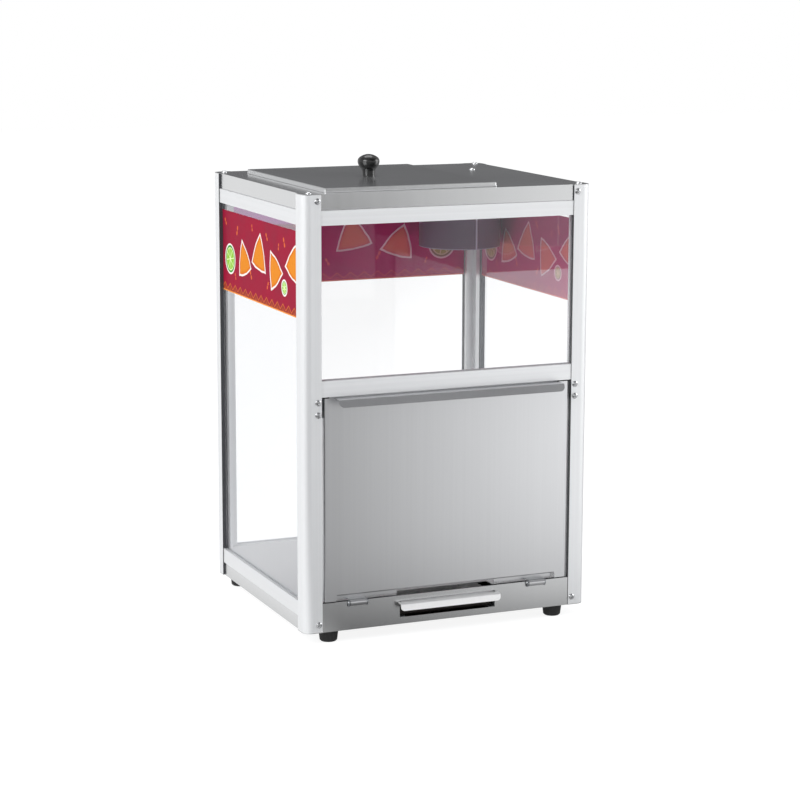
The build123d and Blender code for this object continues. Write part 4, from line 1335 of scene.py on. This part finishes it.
@dataclass
class Lamp:
    """The lamp can with its holder and lamp; sizes are millimetres."""

    nodes: Nodes
    can: EnamelledCan = EnamelledCan(
        "can_stoved_enamel", "6d586b", (131.0, 87.724), 57.0, 479.0
    )
    holder: Moulded = Moulded("lampholder_porcelain", "e9e6de", 0.25, 1.5, 0.01, 0.4)
    glass: OpalGlass = OpalGlass("lamp_opal_glass", "f2efe6")
    axis: Pair = (123.0, 87.724)
    cap_top: float = 576.0
    cap_low: float = 553.0
    cap_radius: float = 9.0
    cap_edge: float = 3.0
    bowl_middle: float = 526.5
    bowl_radius: float = 22.0
    neck_turn: float = 40.0
    spokes: int = 64

    def bulb(self) -> bpy.types.Mesh:
        """Turns the lamp round its axis.

        The cap is a short cylinder with a rounded end. The neck swings from the cap to the
        bowl on a smooth blend, t squared times (3 - 2t), and the bowl is part of a sphere.

        Returns:
            The lamp's mesh, in place.
        """
        crown = np.linspace(0.0, math.pi / 2.0, 7)
        cap_r = self.cap_radius - self.cap_edge + self.cap_edge * np.sin(crown)
        cap_z = self.cap_top - self.cap_edge + self.cap_edge * np.cos(crown)
        turn = math.radians(self.neck_turn)
        t = np.linspace(0.0, 1.0, 12)
        blend = t * t * (3.0 - 2.0 * t)
        bowl_top = self.bowl_middle + self.bowl_radius * math.sin(turn)
        neck_r = self.cap_radius + (self.bowl_radius * math.cos(turn) - self.cap_radius) * blend
        neck_z = self.cap_low + (bowl_top - self.cap_low) * t
        fall = np.linspace(turn, -math.pi / 2.0, 24)[1:]
        bowl_z = self.bowl_middle + self.bowl_radius * np.sin(fall)
        r = np.concatenate([[0.0], cap_r, neck_r, self.bowl_radius * np.cos(fall)])[:, None]
        z = np.concatenate([[self.cap_top], cap_z, neck_z, bowl_z])[:, None]
        around = np.linspace(0.0, 2.0 * math.pi, self.spokes, endpoint=False)[None, :]
        x = self.axis[0] + r * np.cos(around)
        y = self.axis[1] + r * np.sin(around)
        return grid_mesh("heat_lamp_glass", np.stack([x, y, z + 0.0 * x], -1) * MM, True)

    def build(self) -> None:
        """Dresses the can and the holder, and turns the lamp."""
        dress(self.nodes, ("lamp_can",), self.can.material())
        dress(self.nodes, ("lampholder",), self.holder.material())
        glass = self.glass.material()
        dress(self.nodes, ("heat_lamp",), glass)
        lamp = place_piece(self.bulb(), glass, "cabinet")
        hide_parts("heat_lamp")


@dataclass
class Fittings:
    """Feet, switch, cord bushing, terminal block and every fastener; sizes are millimetres."""

    nodes: Nodes
    rubber: Moulded = Moulded("foot_rubber", "1c1c1d", 0.62, 0.8, 0.05)
    plastic: Moulded = Moulded("switch_moulded_black", "1a1a1b", 0.42, 0.7, 0.02)
    pale: Moulded = Moulded("terminal_moulded_white", "e4e3dd", 0.45, 0.7, 0.02)
    magnet: Moulded = Moulded("catch_magnet_ferrite", "2b2b2e", 0.5, 0.5, 0.02)
    zinc: PlatedSteel = PlatedSteel("fastener_bright_zinc", "c4c6c8", 0.28, 0.12, 4.0)
    heads: ScrewHeads = field(default_factory=ScrewHeads)
    post_x: float = 183.25
    front: float = -172.276
    back: float = 179.724
    front_levels: tuple[float, ...] = (577.0, 320.0, 304.0, 27.0)
    rear_levels: Pair = (577.0, 27.0)
    corner_x: float = 190.5
    corner_y: float = 163.5
    top: float = 586.0
    base: float = 16.0
    can_screw: Pair = (146.5, 80.724)
    foot_seat: float = 8.0
    front_foot: Pair = (163.0, -153.776)
    rear_foot: Pair = (179.0, 152.724)

    def seats(self) -> dict[str, Seats]:
        """Lists the seat of every screw head.

        Returns:
            For each frame node, the middle of each seat and its way out of the surface.
        """
        toward_door, toward_back = Vector((0.0, -1.0, 0.0)), Vector((0.0, 1.0, 0.0))
        up, down = Vector((0.0, 0.0, 1.0)), Vector((0.0, 0.0, -1.0))
        middle = (self.front + self.back) / 2.0
        sides = (-1, 1)
        ends = [(s * self.corner_x, middle + e * self.corner_y) for s in sides for e in sides]
        feet = [(s * x, y) for x, y in (self.front_foot, self.rear_foot) for s in sides]
        posts = [
            ((s * self.post_x, y, z), out)
            for y, levels, out in (
                (self.front, self.front_levels, toward_door),
                (self.back, self.rear_levels, toward_back),
            )
            for s in sides
            for z in levels
        ]
        listed = {
            "post_screws": posts,
            "top_screws": [((x, y, self.top), up) for x, y in ends],
            "base_screws": [((x, y, self.base), down) for x, y in ends],
            "can_screw": [((*self.can_screw, self.top), up)],
            "foot_screws": [((x, y, self.foot_seat), down) for x, y in feet],
        }
        return {
            node: [(Vector(at) * MM, out) for at, out in seats] for node, seats in listed.items()
        }

    def build(self) -> None:
        """Dresses the fittings and makes the recessed screw heads."""
        dress(self.nodes, ("rubber_feet",), self.rubber.material())
        black = ("switch_frame", "switch_rocker", "cord_bushing", "bushing_nut")
        dress(self.nodes, black, self.plastic.material())
        dress(self.nodes, ("terminal_block",), self.pale.material())
        dress(self.nodes, ("catch_magnets",), self.magnet.material())
        zinc = (
            "can_nut",
            "catch_nuts",
            "bracket_rivets",
            "foot_nuts",
            "hinge_pin_left",
            "hinge_pin_right",
            "knob_washer",
            "post_screws",
            "top_screws",
            "base_screws",
            "can_screw",
            "foot_screws",
            "knob_screw",
        )
        dress(self.nodes, zinc, self.zinc.material())
        for node, seats in self.seats().items():
            self.heads.build(f"{node}_heads", seats, node, "cabinet")


@dataclass(frozen=True)
class Card:
    """A dim card that only mirrors see: the way to its middle, its level and its soft edge.

    The edge is where the cosine of the angle to the middle starts and ends the card.
    """

    way: Triple
    level: float
    edge: Pair


@dataclass(frozen=True)
class Surroundings:
    """The world: white to the camera and through the panes, and shaded in mirrors.

    Metal mirrors a sky that dims from the horizon to high up, a dark flag behind the
    cabinet and a dim card high in front of it. Anything else is lit by an even, slightly
    cool fill.
    """

    sky: tuple[Pair, ...] = ((0.0, 1.0), (0.16, 0.95), (0.42, 0.9), (0.7, 0.5), (1.0, 0.6))
    cards: tuple[Card, ...] = (
        Card((0.385, 0.905, 0.18), 0.135, (0.80, 0.94)),
        Card((0.36, -0.60, 0.714), 0.2, (0.84, 0.94)),
    )
    card_blue: float = 1.03
    fill: float = 0.62
    fill_colour: Colour = (0.94, 0.96, 1.0, 1.0)

    def build(self) -> None:
        """Builds the world's nodes."""
        world = bpy.data.worlds.new("studio")
        bpy.context.scene.world = world
        world.use_nodes = True
        canvas = Canvas(world.node_tree)
        path = canvas.add("ShaderNodeLightPath").outputs
        way = canvas.add("ShaderNodeTexCoord").outputs["Generated"]
        height = canvas.add("ShaderNodeSeparateXYZ", {}, {0: way}).outputs[2]
        ramp = canvas.add("ShaderNodeValToRGB", {}, {0: height})
        elements = ramp.color_ramp.elements
        while len(elements) < len(self.sky):
            elements.new(0.5)
        for element, (at, level) in zip(elements, self.sky):
            element.position = at
            element.color = grey(level)
        lit = ramp.outputs[0]
        smooth = {"interpolation_type": "SMOOTHSTEP"}
        for card in self.cards:
            toward = canvas.put(Do.DOT, way, card.way)
            edge = {0: toward, 1: card.edge[0], 2: card.edge[1]}
            share = canvas.add("ShaderNodeMapRange", smooth, edge).outputs[0]
            dim = (card.level, card.level, card.level * self.card_blue, 1.0)
            lit = canvas.put(Do.MIX, share, lit, dim)
        soft = canvas.put(Do.BACKGROUND, self.fill_colour, self.fill)
        mirrored = canvas.put(Do.BACKGROUND, lit, 1.0)
        white = canvas.put(Do.BACKGROUND, grey(1.0), 1.0)
        around = canvas.put(Do.BLEND, path["Is Glossy Ray"], soft, mirrored)
        clear = canvas.put(Do.MAXIMUM, path["Is Camera Ray"], path["Is Transmission Ray"])
        final = canvas.put(Do.BLEND, clear, around, white)
        canvas.add("ShaderNodeOutputWorld", {}, {0: final})


@dataclass(frozen=True)
class FloorPaper:
    """White paper: white to the camera with a soft contact shadow, and shaded in mirrors.

    In a mirror it grows brighter to the right in front of the door, is bright to the left
    and stays dim behind the cabinet. A ramp lists where it starts and ends, in metres from
    the cabinet's middle, and its height if that isn't one; a _base is added to it. The
    slant of a point is x + lean (y + lean_y).
    """

    name: str = "floor_white_paper"
    colour: float = 0.93
    glow: float = 1.2
    glow_share: float = 0.72
    lean: float = 0.45
    lean_y: float = 0.16
    across: Triple = (-0.42, 0.42, 1.3)
    across_base: float = 0.2
    near: Triple = (-0.20, -0.62, 0.72)
    near_base: float = 0.28
    close: Pair = (-0.34, -0.46)
    close_right: Triple = (-0.10, 0.12, 0.35)
    close_base: float = 0.96
    away: Pair = (-1.9, -3.2)
    loss: Triple = (0.05, -0.25, 0.7)
    loss_base: float = 0.22
    lift: Triple = (-1.0, -1.6, 0.24)
    lift_right: Pair = (-0.35, 0.1)
    rear: Pair = (0.05, 0.45)
    rear_level: float = 0.28
    left: Pair = (-0.12, -0.24)
    left_side: Pair = (-0.55, -0.25)
    left_level: float = 0.98

    def over(self, sheet: Sheet, share: Socket, below: Socket, level: float) -> Socket:
        """Lays one level over another: below times (1 - share), plus share times level.

        Args:
            sheet: the material being built.
            share: where the new level lies.
            below: the level so far.
            level: the new level.

        Returns:
            The level after it.
        """
        kept = sheet.put(Do.MULTIPLY, below, sheet.put(Do.SUBTRACT, 1.0, share))
        return sheet.put(Do.ADD, kept, sheet.put(Do.MULTIPLY, share, level))

    def front(self, sheet: Sheet, y: Socket, slant: Socket) -> Socket:
        """Works out the mirrored level in front of the cabinet: across times near times far.

        Args:
            sheet: the material being built.
            y: place along the cabinet's depth.
            slant: place across the view of the door.

        Returns:
            The level.
        """
        put = sheet.put
        across = put(Do.ADD, put(Do.RAMP, slant, *self.across), self.across_base)
        near = put(Do.ADD, put(Do.RAMP, y, *self.near), self.near_base)
        loss = put(Do.ADD, put(Do.RAMP, slant, *self.loss), self.loss_base)
        close = put(Do.SUBTRACT, 1.0, put(Do.RAMP, y, *self.close))
        close = put(Do.MULTIPLY, close, put(Do.RAMP, slant, *self.close_right))
        near = put(Do.MULTIPLY, near, put(Do.ADD, close, self.close_base))
        away = put(Do.RAMP, y, *self.away)
        lift = put(Do.RAMP, y, *self.lift)
        lift = put(Do.MULTIPLY, lift, put(Do.RAMP, slant, *self.lift_right))
        lift = put(Do.MULTIPLY, lift, put(Do.SUBTRACT, 1.0, away))
        far = put(Do.SUBTRACT, 1.0, put(Do.MULTIPLY, away, loss))
        far = put(Do.ADD, far, lift)
        return put(Do.MULTIPLY, across, put(Do.MULTIPLY, near, far))

    def material(self) -> bpy.types.Material:
        """Shows the paper to the camera and its shaded levels to mirrors.

        Returns:
            The finished material.
        """
        sheet = Sheet(self.name)
        put = sheet.put
        place = sheet.add("ShaderNodeSeparateXYZ", {}, {0: sheet.place}).outputs
        x, y = place[0], place[1]
        turned = put(Do.MULTIPLY, put(Do.ADD, y, self.lean_y), self.lean)
        level = self.front(sheet, y, put(Do.ADD, x, turned))
        level = self.over(sheet, put(Do.RAMP, y, *self.rear), level, self.rear_level)
        left = put(Do.MULTIPLY, put(Do.RAMP, x, *self.left), put(Do.RAMP, y, *self.left_side))
        level = self.over(sheet, left, level, self.left_level)
        paper = sheet.add("ShaderNodeBsdfDiffuse", {}, {0: grey(self.colour)}).outputs[0]
        glow = put(Do.GLOW, grey(1.0), self.glow)
        mirrored = put(Do.GLOW, grey(1.0), level)
        path = sheet.add("ShaderNodeLightPath").outputs
        seen = put(Do.MAXIMUM, path["Is Camera Ray"], path["Is Transmission Ray"])
        plain = put(Do.BLEND, put(Do.MULTIPLY, seen, self.glow_share), paper, glow)
        final = put(Do.BLEND, path["Is Glossy Ray"], plain, mirrored)
        sheet.add("ShaderNodeOutputMaterial", {}, {0: final})
        return sheet.material


@dataclass(frozen=True)
class SoftBox:
    """One lamp: where it stands, its width and height, and its power in watts."""

    name: str
    place: Triple
    size: Pair
    power: float


@dataclass
class Studio:
    """Floor, lamps, surroundings and camera."""

    camera_place: Triple = (-1.2350, -2.9157, 0.8755)
    yaw: float = 23.01
    pitch: float = 10.63
    roll: float = 0.15
    focal_px: float = 2347.0
    frame_px: float = 800.0
    sensor_mm: float = 36.0
    clip_end: float = 50.0
    surroundings: Surroundings = Surroundings()
    paper: FloorPaper = FloorPaper()
    floor_half: float = 9.0
    floor_drop: float = 0.2 * MM
    aim: Triple = (0.0, 0.0, 0.3)
    boxes: tuple[SoftBox, ...] = (
        SoftBox("softbox_left", (-2.6, -1.2, 1.9), (1.8, 1.8), 55.0),
        SoftBox("softbox_right", (2.9, -0.7, 1.3), (1.6, 1.6), 30.0),
        SoftBox("softbox_rear", (0.4, 1.2, 3.0), (1.6, 1.2), 16.0),
    )

    def camera(self) -> None:
        """Sets the camera from its yaw, pitch and roll, and its lens from pixels."""
        yaw, pitch, roll = (math.radians(a) for a in (self.yaw, self.pitch, self.roll))
        level = math.cos(pitch)
        ahead = Vector((math.sin(yaw) * level, math.cos(yaw) * level, -math.sin(pitch)))
        right = Vector((math.cos(yaw), -math.sin(yaw), 0.0))
        up = right.cross(ahead)
        spin_right = right * math.cos(roll) + up * math.sin(roll)
        spin_up = up * math.cos(roll) - right * math.sin(roll)
        data = bpy.data.cameras.new("camera")
        data.sensor_width = self.sensor_mm
        data.lens = self.focal_px * self.sensor_mm / self.frame_px
        data.clip_end = self.clip_end
        camera = bpy.data.objects.new("camera", data)
        turn = Matrix((spin_right, spin_up, -ahead)).transposed()
        camera.matrix_world = Matrix.Translation(self.camera_place) @ turn.to_4x4()
        bpy.context.scene.collection.objects.link(camera)
        bpy.context.scene.camera = camera

    def floor(self) -> None:
        """Lays the paper a hair under the feet, so that no two faces share a plane."""
        span = self.floor_half
        square = np.array(
            [[[x, y, -self.floor_drop] for y in (-span, span)] for x in (-span, span)]
        )
        mesh = grid_mesh("studio_floor", square, False)
        mesh.materials.append(self.paper.material())
        floor = bpy.data.objects.new("studio_floor", mesh)
        bpy.context.scene.collection.objects.link(floor)

    def lamp(self, box: SoftBox) -> None:
        """Adds one soft box that faces the middle of the cabinet.

        Args:
            box: the lamp to add.
        """
        data = bpy.data.lights.new(box.name, "AREA")
        data.shape = "RECTANGLE"
        data.size, data.size_y = box.size
        data.energy = box.power
        lamp = bpy.data.objects.new(box.name, data)
        way = Vector(self.aim) - Vector(box.place)
        lamp.rotation_euler = way.to_track_quat("-Z", "Y").to_euler()
        lamp.location = box.place
        bpy.context.scene.collection.objects.link(lamp)

    def build(self) -> None:
        """Sets the whole studio."""
        self.camera()
        self.surroundings.build()
        self.floor()
        for box in self.boxes:
            self.lamp(box)
        settings = bpy.context.scene.view_settings
        settings.view_transform = "Standard"
        LOG.info("studio: %d lamps", len(self.boxes))


def main() -> None:
    """Builds the sub-assemblies in order."""
    logging.basicConfig(level=logging.INFO, format="%(message)s")
    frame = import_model()
    nodes = frame["nodes"]
    Studio().build()
    Cabinet(nodes).build()
    Glazing(nodes).build()
    Lid(nodes).build()
    Door(nodes).build()
    Tray(nodes).build()
    Lamp(nodes).build()
    Fittings(nodes).build()


if __name__ == "__main__":
    main()
